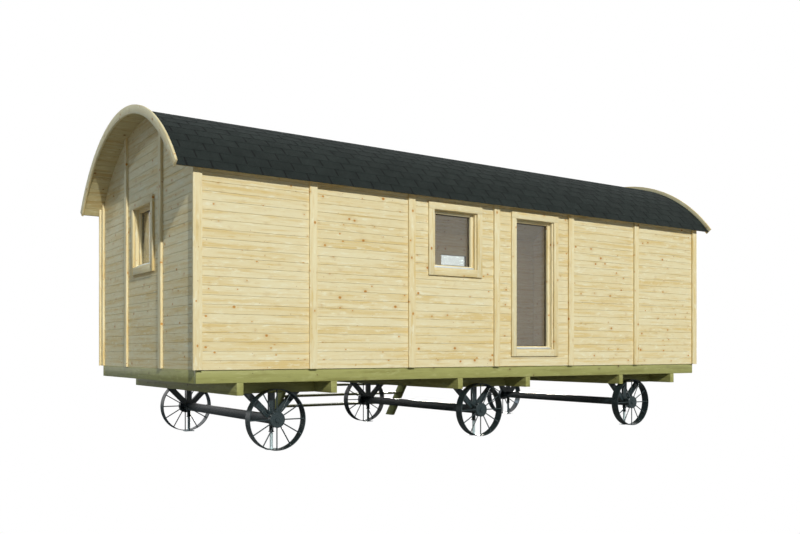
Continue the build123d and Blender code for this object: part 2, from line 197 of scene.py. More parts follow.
class Shader:
    """The node tree of a material or of the world."""

    def __init__(self, name: str, owner: bpy.types.World | None = None) -> None:
        """Start an empty tree.

        Args:
            name: Name of the material.
            owner: The world, if the tree is for it and not for a new material.
        """
        self.owner = owner or bpy.data.materials.new(name)
        self.owner.use_nodes = True
        self.tree = self.owner.node_tree
        self.tree.nodes.clear()

    def add(self, kind: str, settings: dict, inputs: dict) -> bpy.types.Node:
        """Add a node, set it up and feed its sockets.

        Args:
            kind: The node's type name.
            settings: Its own settings, set first.
            inputs: A value, signal or socket for each input, by name or place.

        Returns:
            The new node.
        """
        node = self.tree.nodes.new(kind)
        for key, value in settings.items():
            setattr(node, key, value)
        for key, value in inputs.items():
            socket = node.inputs[key]
            if isinstance(value, Signal):
                value = value.socket
            if isinstance(value, Socket):
                self.tree.links.new(value, socket)
            elif isinstance(value, tuple) and socket.type == "RGBA":
                socket.default_value = (*value, 1.0)
            else:
                socket.default_value = value
        return node

    def attribute(self, name: str) -> bpy.types.Node:
        """Read an attribute of the mesh."""
        return self.add("ShaderNodeAttribute", {"attribute_name": name}, {})

    def object_place(self) -> Socket:
        """The point's place in the object's own axes."""
        return self.add("ShaderNodeTexCoord", {}, {}).outputs["Object"]

    def split(self, vector: Socket) -> tuple[Signal, Signal, Signal]:
        """The three numbers of a vector."""
        node = self.add("ShaderNodeSeparateXYZ", {}, {0: vector})
        return tuple(Signal(self, out) for out in node.outputs)

    def stretch(self, vector: Socket, scale: Triple) -> Socket:
        """Multiply a vector part by part."""
        node = self.add("ShaderNodeVectorMath", {"operation": "MULTIPLY"}, {0: vector, 1: scale})
        return node.outputs[0]

    def noise(
        self, vector: Socket, scale: float, detail: float = 3.0, rough: float = 0.5
    ) -> Signal:
        """Cloudy noise from 0 to 1.

        Args:
            vector: Where the noise is read.
            scale: Clouds to a metre of that vector.
            detail: Octaves.
            rough: Strength of the finer octaves.

        Returns:
            The noise.
        """
        node = self.add(
            "ShaderNodeTexNoise",
            {},
            {"Vector": vector, "Scale": scale, "Detail": detail, "Roughness": rough},
        )
        return Signal(self, node.outputs[0])

    def blend(
        self,
        share: Signal | float,
        one: Colour | Socket,
        two: Colour | Socket,
    ) -> Socket:
        """Mix two colours.

        Args:
            share: How much of the second colour is taken.
            one: First colour.
            two: Second colour.

        Returns:
            The mixed colour.
        """
        node = self.add("ShaderNodeMix", {"data_type": "RGBA"}, {0: share, 6: one, 7: two})
        return node.outputs[2]

    def mix(
        self, share: Signal | Socket, one: bpy.types.Node, two: bpy.types.Node
    ) -> Socket:
        """Mix two surface shaders by the share of the second."""
        ends = {1: one.outputs[0], 2: two.outputs[0]}
        return self.add("ShaderNodeMixShader", {}, {0: share, **ends}).outputs[0]

    def bump(self, height: Signal, distance: float, strength: float = 1.0) -> Socket:
        """Turn a height into a normal.

        Args:
            height: Height from 0 to 1.
            distance: What 1 stands for, in metres.
            strength: Share of the effect.

        Returns:
            The bent normal.
        """
        node = self.add(
            "ShaderNodeBump", {}, {"Height": height, "Distance": distance, "Strength": strength}
        )
        return node.outputs[0]

    def principled(self, inputs: dict) -> Material:
        """Close the tree with one Principled shader.

        Args:
            inputs: What its sockets take.

        Returns:
            The finished material.
        """
        return self.close(self.add("ShaderNodeBsdfPrincipled", {}, inputs).outputs[0])

    def close(
        self, surface: Socket, output: str = "ShaderNodeOutputMaterial"
    ) -> Material | bpy.types.World:
        """Send a shader to the tree's output.

        Args:
            surface: The shader's socket.
            output: Type name of the output node.

        Returns:
            The finished material or world.
        """
        self.add(output, {}, {"Surface": surface})
        return self.owner


# ---------------------------------------------------------------- finishes


@dataclass(frozen=True)
class Timber:
    """Sawn wood: growth rings about a pith, streaks, knots and a tone for each board."""

    name: str
    pale: Colour
    warm: Colour
    light: Colour
    knot: Colour
    core: Colour
    shade: Colour
    ring_width: float = 9 * MM
    ring_share: float = 0.30
    knot_cell: tuple[float, float] = (0.23, 0.11)
    knot_radius: float = 10.5 * MM
    knot_rarity: float = 0.36
    pin_cell: tuple[float, float] = (0.17, 0.06)
    pin_radius: float = 3.2 * MM
    roughness: tuple[float, float] = (0.52, 0.72)

    def knots(
        self, shader: Shader, grain: Socket, cell: tuple[float, float], radius: float
    ) -> tuple[Signal, Signal]:
        """Scatter knots of one kind over the boards.

        Args:
            shader: Where the nodes go.
            grain: Place along, across and through the board.
            cell: Spacing of the knots along and across.
            radius: Radius of a middling knot.

        Returns:
            Distance from the nearest knot in knot radii, and its random number.
        """
        along, across = cell
        cells = shader.stretch(grain, (1 / along, 1 / across, 1 / across))
        near = shader.add("ShaderNodeTexVoronoi", {}, {"Vector": cells, "Scale": 1.0})
        gap = shader.add(
            "ShaderNodeVectorMath",
            {"operation": "SUBTRACT"},
            {0: cells, 1: near.outputs["Position"]},
        )
        metric = shader.stretch(gap.outputs[0], (along * 0.8, across, across * 0.3))
        reach = shader.add("ShaderNodeVectorMath", {"operation": "LENGTH"}, {0: metric})
        chance, size, _ = shader.split(near.outputs["Color"])
        distance = Signal(shader, reach.outputs["Value"])
        distance = distance.math("DIVIDE", size * radius + radius * 0.4)
        return distance + chance.ramp(self.knot_rarity, self.knot_rarity + 0.02, (40.0, 0.0)), size

    def build(self) -> Material:
        """Make the material.

        Returns:
            The finished material.
        """
        shader = Shader(self.name)
        grain = shader.attribute("grain").outputs["Vector"]
        tone = Signal(shader, shader.attribute("tone").outputs["Fac"])
        _, across, depth = shader.split(grain)
        knot, kind = self.knots(shader, grain, self.knot_cell, self.knot_radius)
        pin, _ = self.knots(shader, grain, self.pin_cell, self.pin_radius)
        swirl = knot.ramp(0.8, 4.0, (1.0, 0.0))
        sway = shader.noise(shader.stretch(grain, (1.3, 10.0, 10.0)), 1.0, 3.0) - 0.5
        radius = (across * across + depth * depth).math("SQRT")
        phase = (radius + sway * 0.05 + swirl * 0.012) * (2 * pi / self.ring_width)
        rings = (phase.sine() * 0.5 + 0.5) ** 1.6
        band = shader.noise(shader.stretch(grain, (1.1, 22.0, 22.0)), 1.0, 3.0, 0.55)
        streak = shader.noise(shader.stretch(grain, (3.0, 75.0, 75.0)), 1.0, 4.0, 0.6)
        blotch = shader.noise(shader.stretch(grain, (7.0, 30.0, 30.0)), 1.0, 4.0, 0.65)
        fibre = shader.noise(shader.stretch(grain, (14.0, 520.0, 520.0)), 1.0, 2.0)
        warmth = rings * self.ring_share * band.ramp(0.3, 0.7, (0.3, 1.0))
        warmth = warmth + band.ramp(0.46, 0.68) * 0.62 + streak.ramp(0.52, 0.72) * 0.34
        warmth = warmth + blotch.ramp(0.55, 0.72) * 0.40 + tone.ramp(0.3, 1.0) * 0.24
        colour = shader.blend(warmth.math("MINIMUM", 1.0), self.pale, self.warm)
        colour = shader.blend(blotch.ramp(0.30, 0.46, (0.75, 0.0)), colour, self.light)
        colour = shader.blend(swirl * blotch.ramp(0.35, 0.6) * 0.40, colour, self.shade)
        colour = shader.blend(fibre.ramp(0.35, 0.8) * 0.12, colour, self.shade)
        colour = shader.blend(pin.ramp(0.7, 1.2, (0.75, 0.0)), colour, self.core)
        colour = shader.blend(knot.ramp(0.75, 1.25, (0.92, 0.0)), colour, self.knot)
        heart = knot.ramp(0.2, 0.9, (0.7, 0.0)) * kind.ramp(0.55, 0.8)
        colour = shader.blend(heart, colour, self.core)
        height = fibre * 0.5 + rings * 0.35 + knot.ramp(0.7, 1.2, (0.5, 0.0))
        return shader.principled(
            {
                "Base Color": colour,
                "Roughness": streak.ramp(0.2, 0.8, self.roughness),
                "Normal": shader.bump(height, 0.5 * MM, 0.5),
                "Specular IOR Level": 0.3,
            }
        )


@dataclass(frozen=True)
class Shingle:
    """Mineral felt: coloured granules, a tone for each tab and faint weathering."""

    name: str = "shingles"
    base: Colour = srgb(34, 40, 38)
    light: Colour = srgb(56, 64, 60)
    dark: Colour = srgb(20, 24, 23)

    def build(self) -> Material:
        """Make the material.

        Returns:
            The finished material.
        """
        shader = Shader(self.name)
        place = shader.object_place()
        tone = Signal(shader, shader.attribute("tone").outputs["Fac"])
        grit = shader.add("ShaderNodeTexVoronoi", {}, {"Vector": place, "Scale": 420.0})
        speck, _, _ = shader.split(grit.outputs["Color"])
        patch = shader.noise(place, 7.0, 4.0, 0.6)
        wash = shader.noise(shader.stretch(place, (5.0, 0.8, 0.8)), 1.0, 3.0)
        colour = shader.blend(speck.ramp(0.55, 1.0) * 0.55, self.base, self.light)
        colour = shader.blend(speck.ramp(0.0, 0.45, (0.6, 0.0)), colour, self.dark)
        colour = shader.blend(patch.ramp(0.35, 0.75) * 0.30, colour, self.dark)
        colour = shader.blend(tone.ramp(0.0, 1.0) * 0.28, colour, self.dark)
        colour = shader.blend(wash.ramp(0.55, 0.85) * 0.12, colour, self.light)
        grain = Signal(shader, grit.outputs["Distance"])
        return shader.principled(
            {
                "Base Color": colour,
                "Roughness": patch.ramp(0.2, 0.8, (0.86, 0.97)),
                "Normal": shader.bump(speck * 0.6 + grain * 0.4, 0.8 * MM, 0.7),
                "Specular IOR Level": 0.2,
            }
        )


@dataclass(frozen=True)
class PaintedIron:
    """Wrought and rolled iron under satin black paint."""

    name: str = "black_iron"
    paint: Colour = srgb(42, 54, 57)
    worn: Colour = srgb(68, 81, 84)
    rust: Colour = srgb(74, 58, 46)

    def build(self) -> Material:
        """Make the material.

        Returns:
            The finished material.
        """
        shader = Shader(self.name)
        place = shader.object_place()
        broad = shader.noise(place, 5.0, 4.0, 0.6)
        fine = shader.noise(place, 90.0, 3.0)
        peel = shader.noise(place, 420.0, 2.0)
        colour = shader.blend(broad.ramp(0.45, 0.8) * 0.35, self.paint, self.worn)
        colour = shader.blend(fine.ramp(0.66, 0.8) * 0.30, colour, self.worn)
        freckle = fine.ramp(0.68, 0.74) * broad.ramp(0.5, 0.6)
        colour = shader.blend(freckle * 0.55, colour, self.rust)
        return shader.principled(
            {
                "Base Color": colour,
                "Roughness": fine.ramp(0.3, 0.7, (0.24, 0.40)),
                "Normal": shader.bump(peel * 0.6 + fine * 0.4, 0.35 * MM, 0.5),
                "Specular IOR Level": 0.6,
            }
        )


@dataclass(frozen=True)
class BareMetal:
    """Zinc, aluminium or steel: spangle or brush marks over a metal colour."""

    name: str
    base: Colour
    dull: Colour
    cells: Triple
    metallic: float
    roughness: tuple[float, float]

    def build(self) -> Material:
        """Make the material.

        Returns:
            The finished material.
        """
        shader = Shader(self.name)
        place = shader.stretch(shader.object_place(), self.cells)
        flake = shader.add("ShaderNodeTexVoronoi", {}, {"Vector": place, "Scale": 1.0})
        facet, _, _ = shader.split(flake.outputs["Color"])
        haze = shader.noise(place, 0.35, 3.0)
        colour = shader.blend(facet * 0.35 + haze * 0.35, self.base, self.dull)
        return shader.principled(
            {
                "Base Color": colour,
                "Metallic": self.metallic,
                "Roughness": (facet * 0.5 + haze * 0.5).ramp(0.2, 0.8, self.roughness),
                "Normal": shader.bump(facet + haze, 0.1 * MM, 0.4),
            }
        )


@dataclass(frozen=True)
class Glass:
    """Clear float glass as a thin sheet: it mirrors by angle and lets light straight through."""

    name: str = "glass"
    tint: Colour = (0.96, 0.97, 0.965)
    sheen: Colour = (0.93, 0.96, 0.97)
    film: Colour = (0.80, 0.84, 0.84)
    front_mirror: float = 0.04

    def build(self) -> Material:
        """Make the material.

        Returns:
            The finished material.
        """
        shader = Shader(self.name)
        place = shader.object_place()
        wave = shader.noise(place, 1.6, 1.0)
        smear = shader.noise(place, 9.0, 4.0, 0.6)
        normal = shader.bump(wave, 1.0 * MM, 0.08)
        weight = shader.add("ShaderNodeLayerWeight", {}, {"Blend": 0.5})
        slant = Signal(shader, weight.outputs["Facing"])
        facing = slant**5 * (1 - self.front_mirror) + self.front_mirror
        clear = shader.add("ShaderNodeBsdfTransparent", {}, {"Color": self.tint})
        mirror = shader.add(
            "ShaderNodeBsdfPrincipled",
            {},
            {
                "Base Color": shader.blend(smear * 0.3, self.sheen, self.film),
                "Metallic": 1.0,
                "Roughness": smear.ramp(0.3, 0.8, (0.0, 0.03)),
                "Normal": normal,
            },
        )
        return shader.close(shader.mix(facing, clear, mirror))


@dataclass(frozen=True)
class Seal:
    """Black rubber strip round the panes."""

    name: str = "seal"
    base: Colour = srgb(38, 38, 38)
    dust: Colour = srgb(70, 68, 64)

    def build(self) -> Material:
        """Make the material.

        Returns:
            The finished material.
        """
        shader = Shader(self.name)
        place = shader.object_place()
        dust = shader.noise(place, 60.0, 4.0)
        return shader.principled(
            {
                "Base Color": shader.blend(dust.ramp(0.45, 0.8) * 0.6, self.base, self.dust),
                "Roughness": dust.ramp(0.3, 0.7, (0.55, 0.8)),
                "Normal": shader.bump(dust, 0.15 * MM, 0.4),
            }
        )


Finish = Timber | Shingle | PaintedIron | BareMetal | Glass | Seal


def made(finish: Finish) -> Field:
    """A palette field that holds the material of a finish."""
    return field(default_factory=finish.build)


@dataclass
class Palette:
    """Every finish of the caravan, made once."""

    spruce: Material = made(
        Timber(
            name="spruce",
            pale=srgb(238, 224, 184),
            warm=srgb(224, 196, 134),
            light=srgb(244, 236, 206),
            knot=srgb(206, 146, 64),
            core=srgb(164, 106, 50),
            shade=srgb(204, 174, 124),
        )
    )
    treated: Material = made(
        Timber(
            name="treated_timber",
            pale=srgb(166, 164, 100),
            warm=srgb(142, 138, 78),
            light=srgb(180, 178, 118),
            knot=srgb(122, 104, 58),
            core=srgb(78, 64, 40),
            shade=srgb(128, 124, 76),
            ring_width=11 * MM,
            knot_cell=(0.36, 0.11),
            roughness=(0.30, 0.44),
        )
    )
    decking: Material = made(
        Timber(
            name="deck_boards",
            pale=srgb(214, 200, 152),
            warm=srgb(196, 168, 112),
            light=srgb(226, 214, 172),
            knot=srgb(160, 106, 52),
            core=srgb(98, 62, 36),
            shade=srgb(172, 150, 106),
        )
    )
    shingles: Material = made(Shingle())
    # Black felt under the shingles, darker than the tabs so that the slots between tabs show dark:
    # partly the felt's own colour, partly painted shade of the slots.
    bitumen_and_painted_slot_shade: Material = made(
        Shingle(
            name="bitumen_and_painted_slot_shade", base=srgb(16, 18, 18), light=srgb(26, 29, 29), dark=srgb(8, 9, 9)
        )
    )
    iron: Material = made(PaintedIron())
    zinc: Material = made(
        BareMetal(
            name="galvanised",
            base=srgb(206, 220, 222),
            dull=srgb(172, 188, 192),
            cells=(110.0, 110.0, 110.0),
            metallic=0.25,
            roughness=(0.35, 0.55),
        )
    )
    aluminium: Material = made(
        BareMetal(
            name="aluminium",
            base=srgb(232, 238, 242),
            dull=srgb(196, 204, 210),
            cells=(30.0, 30.0, 900.0),
            metallic=0.6,
            roughness=(0.28, 0.42),
        )
    )
    bronze: Material = made(
        BareMetal(
            name="bronze_aluminium",
            base=srgb(84, 68, 52),
            dull=srgb(58, 48, 38),
            cells=(30.0, 30.0, 900.0),
            metallic=0.3,
            roughness=(0.4, 0.55),
        )
    )
    steel: Material = made(
        BareMetal(
            name="handle_steel",
            base=srgb(206, 204, 198),
            dull=srgb(158, 156, 150),
            cells=(60.0, 600.0, 600.0),
            metallic=1.0,
            roughness=(0.25, 0.4),
        )
    )
    glass: Material = made(Glass())
    seal: Material = made(Seal())


# ---------------------------------------------------------------- shapes


@dataclass(frozen=True)
class Box:
    """An upright box between two corners."""

    low: Vector
    high: Vector

    @property
    def size(self) -> Vector:
        """Edge lengths."""
        return self.high - self.low

    @property
    def middle(self) -> Vector:
        """Centre point."""
        return (self.low + self.high) / 2

    @classmethod
    def of(cls, node: str) -> "Box":
        """The box of a frame node."""
        return cls(*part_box(node))


def loose_boxes(node: bpy.types.Object) -> list[Box]:
    """Find the boxes of a frame node's separate solids.

    Args:
        node: The frame node's object.

    Returns:
        One box for each solid, in a fixed order.
    """
    part = merged_copy(node)
    boxes, seen = [], set()
    for start in part.verts:
        if start in seen:
            continue
        island, front = {start}, [start]
        while front:
            for edge in front.pop().link_edges:
                for vert in edge.verts:
                    if vert not in island:
                        island.add(vert)
                        front.append(vert)
        seen |= island
        corners = list(zip(*(v.co for v in island)))
        boxes.append(Box(Vector(map(min, corners)), Vector(map(max, corners))))
    part.free()
    return sorted(boxes, key=lambda box: tuple(round(c, 4) for c in box.middle))


def merged_copy(node: bpy.types.Object) -> BMesh:
    """Copy a frame node's mesh, with its loose triangles joined into flat faces.

    Args:
        node: The frame node's object.

    Returns:
        The copy.
    """
    part = bmesh.new()
    part.from_mesh(node.data)
    bmesh.ops.remove_doubles(part, verts=part.verts[:], dist=TOUCH)
    bmesh.ops.dissolve_limit(part, angle_limit=FLAT, verts=part.verts[:], edges=part.edges[:])
    return part


def soften(part: BMesh, width: float, segments: int = 1, sharp: float = 25.0) -> None:
    """Round the sharp edges of a part.

    Args:
        part: The mesh.
        width: Width of the rounding.
        segments: Faces across it.
        sharp: Angle in degrees above which an edge is rounded.
    """
    edges = [e for e in part.edges if e.is_manifold and e.calc_face_angle() > radians(sharp)]
    round_off(part, edges, width, segments)


def round_off(part: BMesh, edges: list[BMEdge], width: float, segments: int) -> None:
    """Round some edges of a part.

    Args:
        part: The mesh.
        edges: The edges to round.
        width: Width of the rounding.
        segments: Faces across it.
    """
    bmesh.ops.bevel(
        part,
        geom=edges,
        offset=width,
        offset_type="OFFSET",
        affect="EDGES",
        segments=segments,
        profile=0.5,
        material=-1,
        clamp_overlap=True,
    )


def block(low: Iterable[float], high: Iterable[float]) -> BMesh:
    """Make a plain block between two corners.

    Args:
        low: Lowest corner.
        high: Highest corner.

    Returns:
        The block.
    """
    box = Box(Vector(low), Vector(high))
    place = Matrix.Translation(box.middle) @ Matrix.Diagonal((*box.size, 1.0))
    part = bmesh.new()
    bmesh.ops.create_cube(part, size=1.0, matrix=place)
    return part


def turned(
    profile: list[tuple[float, float]], centre: Vector, axis: Axis, steps: int, closed: bool
) -> BMesh:
    """Turn a profile about an axis.

    Args:
        profile: Radius and place along the axis of each corner, in order.
        centre: A point of the axis.
        axis: Its direction.
        steps: Faces round it.
        closed: Whether the profile is a loop; otherwise its ends lie on the axis.

    Returns:
        The turned shape, facing outwards.
    """
    side = Vector((0, 0, 1)) if axis is not Axis.Z else Vector((1, 0, 0))
    part = bmesh.new()
    verts = [part.verts.new(centre + side * r + axis.vector * a) for r, a in profile]
    edges = [part.edges.new(pair) for pair in zip(verts, verts[1:])]
    if closed:
        edges.append(part.edges.new((verts[-1], verts[0])))
    bmesh.ops.spin(
        part,
        geom=verts + edges,
        cent=centre,
        axis=axis.vector,
        angle=2 * pi,
        steps=steps,
        use_merge=True,
    )
    bmesh.ops.remove_doubles(part, verts=part.verts[:], dist=TOUCH)
    bmesh.ops.recalc_face_normals(part, faces=part.faces[:])
    return part


def rod(start: Vector, end: Vector, radius: float, tip: float, steps: int) -> BMesh:
    """Make a round bar.

    Args:
        start: Middle of one end.
        end: Middle of the other.
        radius: Radius at the start.
        tip: Radius at the end.
        steps: Faces round it.

    Returns:
        The bar.
    """
    run = end - start
    turn = run.to_track_quat("Z", "Y").to_matrix().to_4x4()
    part = bmesh.new()
    bmesh.ops.create_cone(
        part,
        cap_ends=True,
        segments=steps,
        radius1=radius,
        radius2=tip,
        depth=run.length,
        matrix=Matrix.Translation((start + end) / 2) @ turn,
    )
    return part


@dataclass
class Arc:
    """A cylinder along the cabin, such as the roof's underside."""

    y: float
    z: float
    radius: float
    step: float = radians(3)
    reach: float = radians(56)

    def point(self, angle: float, radius: float, x: float) -> Vector:
        """The point at an angle from the crown, at a radius and a place along the cabin."""
        return Vector((x, self.y + radius * sin(angle), self.z + radius * cos(angle)))

    def polar(self, point: Vector) -> tuple[float, float]:
        """Angle from the crown and radius of a point."""
        lift = Vector((point.y - self.y, point.z - self.z))
        return Vector((0, 1)).angle_signed(lift), lift.length

    def half_turn(self, width: float) -> float:
        """Angle from the crown at which the arc is as wide as a given width."""
        half = width / 2
        return Vector((0, 1)).angle(Vector((half, (self.radius**2 - half**2) ** 0.5)))

    def trim(self, part: BMesh) -> bool:
        """Cut away what stands above the arc.

        Args:
            part: The mesh to cut.

        Returns:
            Whether anything is left.
        """
        count = round(self.reach / self.step)
        for i in range(-count, count + 1):
            normal = Vector((0, sin(i * self.step), cos(i * self.step)))
            place = self.point(i * self.step, self.radius * cos(self.step / 2), 0)
            sides = [(vert.co - place).dot(normal) for vert in part.verts]
            if max(sides) < TOUCH:
                continue
            if min(sides) > -TOUCH:
                return False
            cut = bmesh.ops.bisect_plane(
                part,
                geom=part.verts[:] + part.edges[:] + part.faces[:],
                plane_co=place,
                plane_no=normal,
                clear_outer=True,
            )
            rim = [item for item in cut["geom_cut"] if isinstance(item, BMEdge)]
            bmesh.ops.contextual_create(part, geom=rim)
        return True

    @classmethod
    def over(cls, node: bpy.types.Object) -> "Arc":
        """The arc of a roof node's outer face, from its chord and rise."""
        low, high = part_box(node.name)
        eave = min(v.co.z for v in node.data.vertices if v.co.y > high.y - TOUCH)
        half, rise = (high.y - low.y) / 2, high.z - eave
        radius = (half**2 + rise**2) / (2 * rise)
        return cls((low.y + high.y) / 2, high.z - radius, radius)


class Piece:
    """A mesh under one name, which gathers boards, turned shapes and plates."""

    grain_start = 60.0
    pith_aside = 160 * MM
    pith_depth = (30 * MM, 100 * MM)

    def __init__(self, name: str) -> None:
        """Start an empty piece.

        Args:
            name: The piece's name, which also seeds its random numbers.
        """
        self.name = name
        self.mesh = bpy.data.meshes.new(name)
        self.gathered = bmesh.new()
        self.gathered.verts.layers.float_vector.new("grain")
        self.gathered.verts.layers.float.new("tone")
        self.random = random.Random(name)

    def take(self, part: BMesh, rule: GrainRule) -> None:
        """Add a part, with its grain and a random tone written on it.

        Args:
            part: The mesh, which is used up.
            rule: Place along, across and through the grain of a point.
        """
        grain = part.verts.layers.float_vector.new("grain")
        tone = part.verts.layers.float.new("tone")
        pith = Vector((self.random.uniform(0, self.grain_start), 0, 0))
        pith.y = self.random.uniform(-self.pith_aside, self.pith_aside)
        pith.z = self.random.choice((-1, 1)) * self.random.uniform(*self.pith_depth)
        shade = self.random.random()
        for vert in part.verts:
            vert[grain] = rule(vert.co) + pith
            vert[tone] = shade
        scratch = bpy.data.meshes.new("scratch")
        part.to_mesh(scratch)
        part.free()
        self.gathered.from_mesh(scratch)
        bpy.data.meshes.remove(scratch)

    def board(
        self,
        low: Iterable[float],
        high: Iterable[float],
        along: Axis,
        edge: float,
        arc: Arc | None = None,
        rounds: int = 1,
    ) -> None:
        """Add a board with rounded edges.

        Args:
            low: Lowest corner.
            high: Highest corner.
            along: Direction of its fibres.
            edge: Width of the rounding.
            arc: Roof line that its top is cut to, if any.
            rounds: Faces across the rounding.
        """
        part = block(low, high)
        size = [b - a for a, b in zip(low, high)]
        if arc is not None and not arc.trim(part):
            part.free()
            return
        soften(part, edge, rounds)
        self.take(part, straight_grain(size, along, Vector(low)))

    def dress(
        self, material: Material, slot: str, replaces: Iterable[str] = (), body: str = BODY
    ) -> None:
        """Close the piece and give it its finish and body.

        Args:
            material: Its finish.
            slot: Not used.
            replaces: Frame nodes that it stands for.
            body: Body that it rides on.
        """
        self.gathered.to_mesh(self.mesh)
        self.gathered.free()
        self.mesh.shade_smooth()
        self.mesh.set_sharp_from_angle(angle=SHARP)
        self.mesh.materials.append(material)
        piece = bpy.data.objects.new(self.name, self.mesh)
        bpy.context.scene.collection.objects.link(piece)
        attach(piece, body)
        if replaces:
            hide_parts(*replaces)
        LOG.info("%s: %d faces", self.name, len(self.mesh.polygons))


def own_place(point: Vector) -> Vector:
    """Rule of metal parts, which have no grain: the point's own place."""
    return point.copy()


def straight_grain(size: list[float], along: Axis, origin: Vector) -> GrainRule:
    """Grain that runs along one axis, with the board's wider side across it.

    Args:
        size: Edge lengths of the board.
        along: Direction of its fibres.
        origin: A corner of the board.

    Returns:
        The rule.
    """
    first = along.index
    second, third = sorted((i for i in range(3) if i != first), key=lambda i: -size[i])
    return lambda p: Vector(((p - origin)[first], (p - origin)[second], (p - origin)[third]))


@dataclass
class SubAssembly:
    """What every sub-assembly works from: the frame's nodes and the finishes."""

    nodes: Nodes
    palette: Palette

    def refinish(
        self,
        source: str,
        name: str,
        along: Axis,
        edge: float,
        material: Material,
        slot: str,
        rounds: int = 1,
    ) -> None:
        """Stand a copy with rounded edges and a finish in for a frame node.

        Args:
            source: The frame node.
            name: The new piece's name.
            along: Direction of the grain.
            edge: Width of the rounding.
            material: The copy's finish.
            slot: The record's material slot.
            rounds: Faces across the rounding.
        """
        piece = Piece(name)
        for box in loose_boxes(self.nodes[source]):
            part = solid_in(box, merged_copy(self.nodes[source]))
            soften(part, edge, rounds)
            piece.take(part, straight_grain(list(box.size), along, box.low))
        piece.dress(material, slot, (source,))


def solid_in(box: Box, part: BMesh, reach: float = 5 * TOUCH) -> BMesh:
    """Keep only the solid that fills a box.

    Args:
        box: The solid's box.
        part: A mesh of several solids.
        reach: How far a point may stand out of the box.

    Returns:
        The same mesh, without its other solids.
    """
    outside = [
        v
        for v in part.verts
        if any(v.co[i] < box.low[i] - reach or v.co[i] > box.high[i] + reach for i in range(3))
    ]
    bmesh.ops.delete(part, geom=outside, context="VERTS")
    return part


# ---------------------------------------------------------------- cabin


@dataclass(frozen=True)
class Cell:
    """An upright rectangle in a wall's face."""

    left: float
    right: float
    base: float
    top: float

    def meets(self, hole: "Cell") -> bool:
        """Whether the two rectangles overlap."""
        beside = self.left < hole.right and self.right > hole.left
        return beside and self.base < hole.top and self.top > hole.base

    def inset(self, sides: float, ends: float | None = None) -> "Cell":
        """Shrink it at its sides, and at its base and top by the same or another width."""
        ends = sides if ends is None else ends
        return Cell(self.left + sides, self.right - sides, self.base + ends, self.top - ends)

    def around(self, holes: list["Cell"]) -> list["Cell"]:
        """Split the rectangle into those that lie round the holes.

        Args:
            holes: Rectangles to leave open.

        Returns:
            What is left of this one.
        """
        for hole in holes:
            if self.meets(hole):
                left, right = max(self.left, hole.left), min(self.right, hole.right)
                parts = [
                    Cell(self.left, min(self.right, hole.left), self.base, self.top),
                    Cell(max(self.left, hole.right), self.right, self.base, self.top),
                    Cell(left, right, self.base, hole.base),
                    Cell(left, right, hole.top, self.top),
                ]
                real = [p for p in parts if p.right - p.left > MM and p.top - p.base > MM]
                return [cell for part in real for cell in part.around(holes)]
        return [self]


@dataclass(frozen=True)
class Face:
    """One side of the cabin, in which depth is measured inwards from a front."""

    run: Axis
    outside: int
    front: float

    def corners(self, cell: Cell, near: float, far: float) -> tuple[Vector, Vector]:
        """The corners of a block behind a rectangle of this face.

        Args:
            cell: The rectangle.
            near: Depth of the block's front.
            far: Depth of its back.

        Returns:
            The lowest and the highest corner.
        """
        depths = sorted(self.front - self.outside * depth for depth in (near, far))
        low, high = Vector((0, 0, cell.base)), Vector((0, 0, cell.top))
        across = Axis.Y if self.run is Axis.X else Axis.X
        low[self.run.index], high[self.run.index] = cell.left, cell.right
        low[across.index], high[across.index] = depths
        return low, high

    def flatten(self, box: Box) -> Cell:
        """A box as it is seen in this face."""
        i = self.run.index
        return Cell(box.low[i], box.high[i], box.low.z, box.high.z)


class Side(Enum):
    """A side of the cabin: its wall's node, its run and the sign of its outward direction."""

    FRONT = ("front_wall", Axis.X, -1)
    BACK = ("back_wall_left", Axis.X, 1)
    LEFT = ("left_gable", Axis.Y, -1)
    RIGHT = ("right_gable", Axis.Y, 1)

    @property
    def face(self) -> Face:
        """The outer face of the side's wall."""
        node, run, outside = self.value
        box = Box.of(node)
        return Face(run, outside, (box.low if outside < 0 else box.high)[1 - run.index])


@dataclass
class Wall:
    """A wall: boards in courses on both faces of a plain core."""

    name: str
    replaced: tuple[str, ...]
    face: Face
    joints: list[float]
    inside: tuple[float, float]
    height: tuple[float, float]
    holes: list[Cell]
    arc: Arc
    thickness: float = 100 * MM
    board: float = 20 * MM
    course: float = 87.7 * MM
    gap: float = 1.4 * MM
    edge: float = 2.0 * MM

    def courses(self, left: float, right: float) -> list[Cell]:
        """Boards of one panel, cut round the wall's holes.

        Args:
            left: Where the panel starts.
            right: Where it ends.

        Returns:
            The boards' rectangles.
        """
        base, top = self.height
        cells = []
        while base < top:
            course = Cell(left, right, base, base + self.course - self.gap)
            cells += course.around(self.holes)
            base += self.course
        return cells

    def build(self, palette: Palette) -> None:
        """Make the wall.

        Args:
            palette: The finishes.
        """
        piece = Piece(self.name)
        for left, right in zip(self.joints, self.joints[1:]):
            for cell in self.courses(left, right):
                low, high = self.face.corners(cell, 0, self.board)
                piece.board(low, high, self.face.run, self.edge, self.arc)
        start, end = self.inside
        depth = self.thickness - self.board
        for cell in self.courses(start, end):
            low, high = self.face.corners(cell, depth, self.thickness)
            piece.board(low, high, self.face.run, self.edge, self.arc)
        for cell in Cell(start, end, *self.height).around(self.holes):
            low, high = self.face.corners(cell, self.board, depth)
            piece.board(low, high, self.face.run, self.gap, self.arc)
        piece.dress(palette.spruce, "spruce", self.replaced)


BACK_WALL = ("back_wall_left", "back_wall_over_door", "back_wall_right")
LONG_SIDES = (Side.FRONT, Side.BACK)
GABLES = (Side.LEFT, Side.RIGHT)


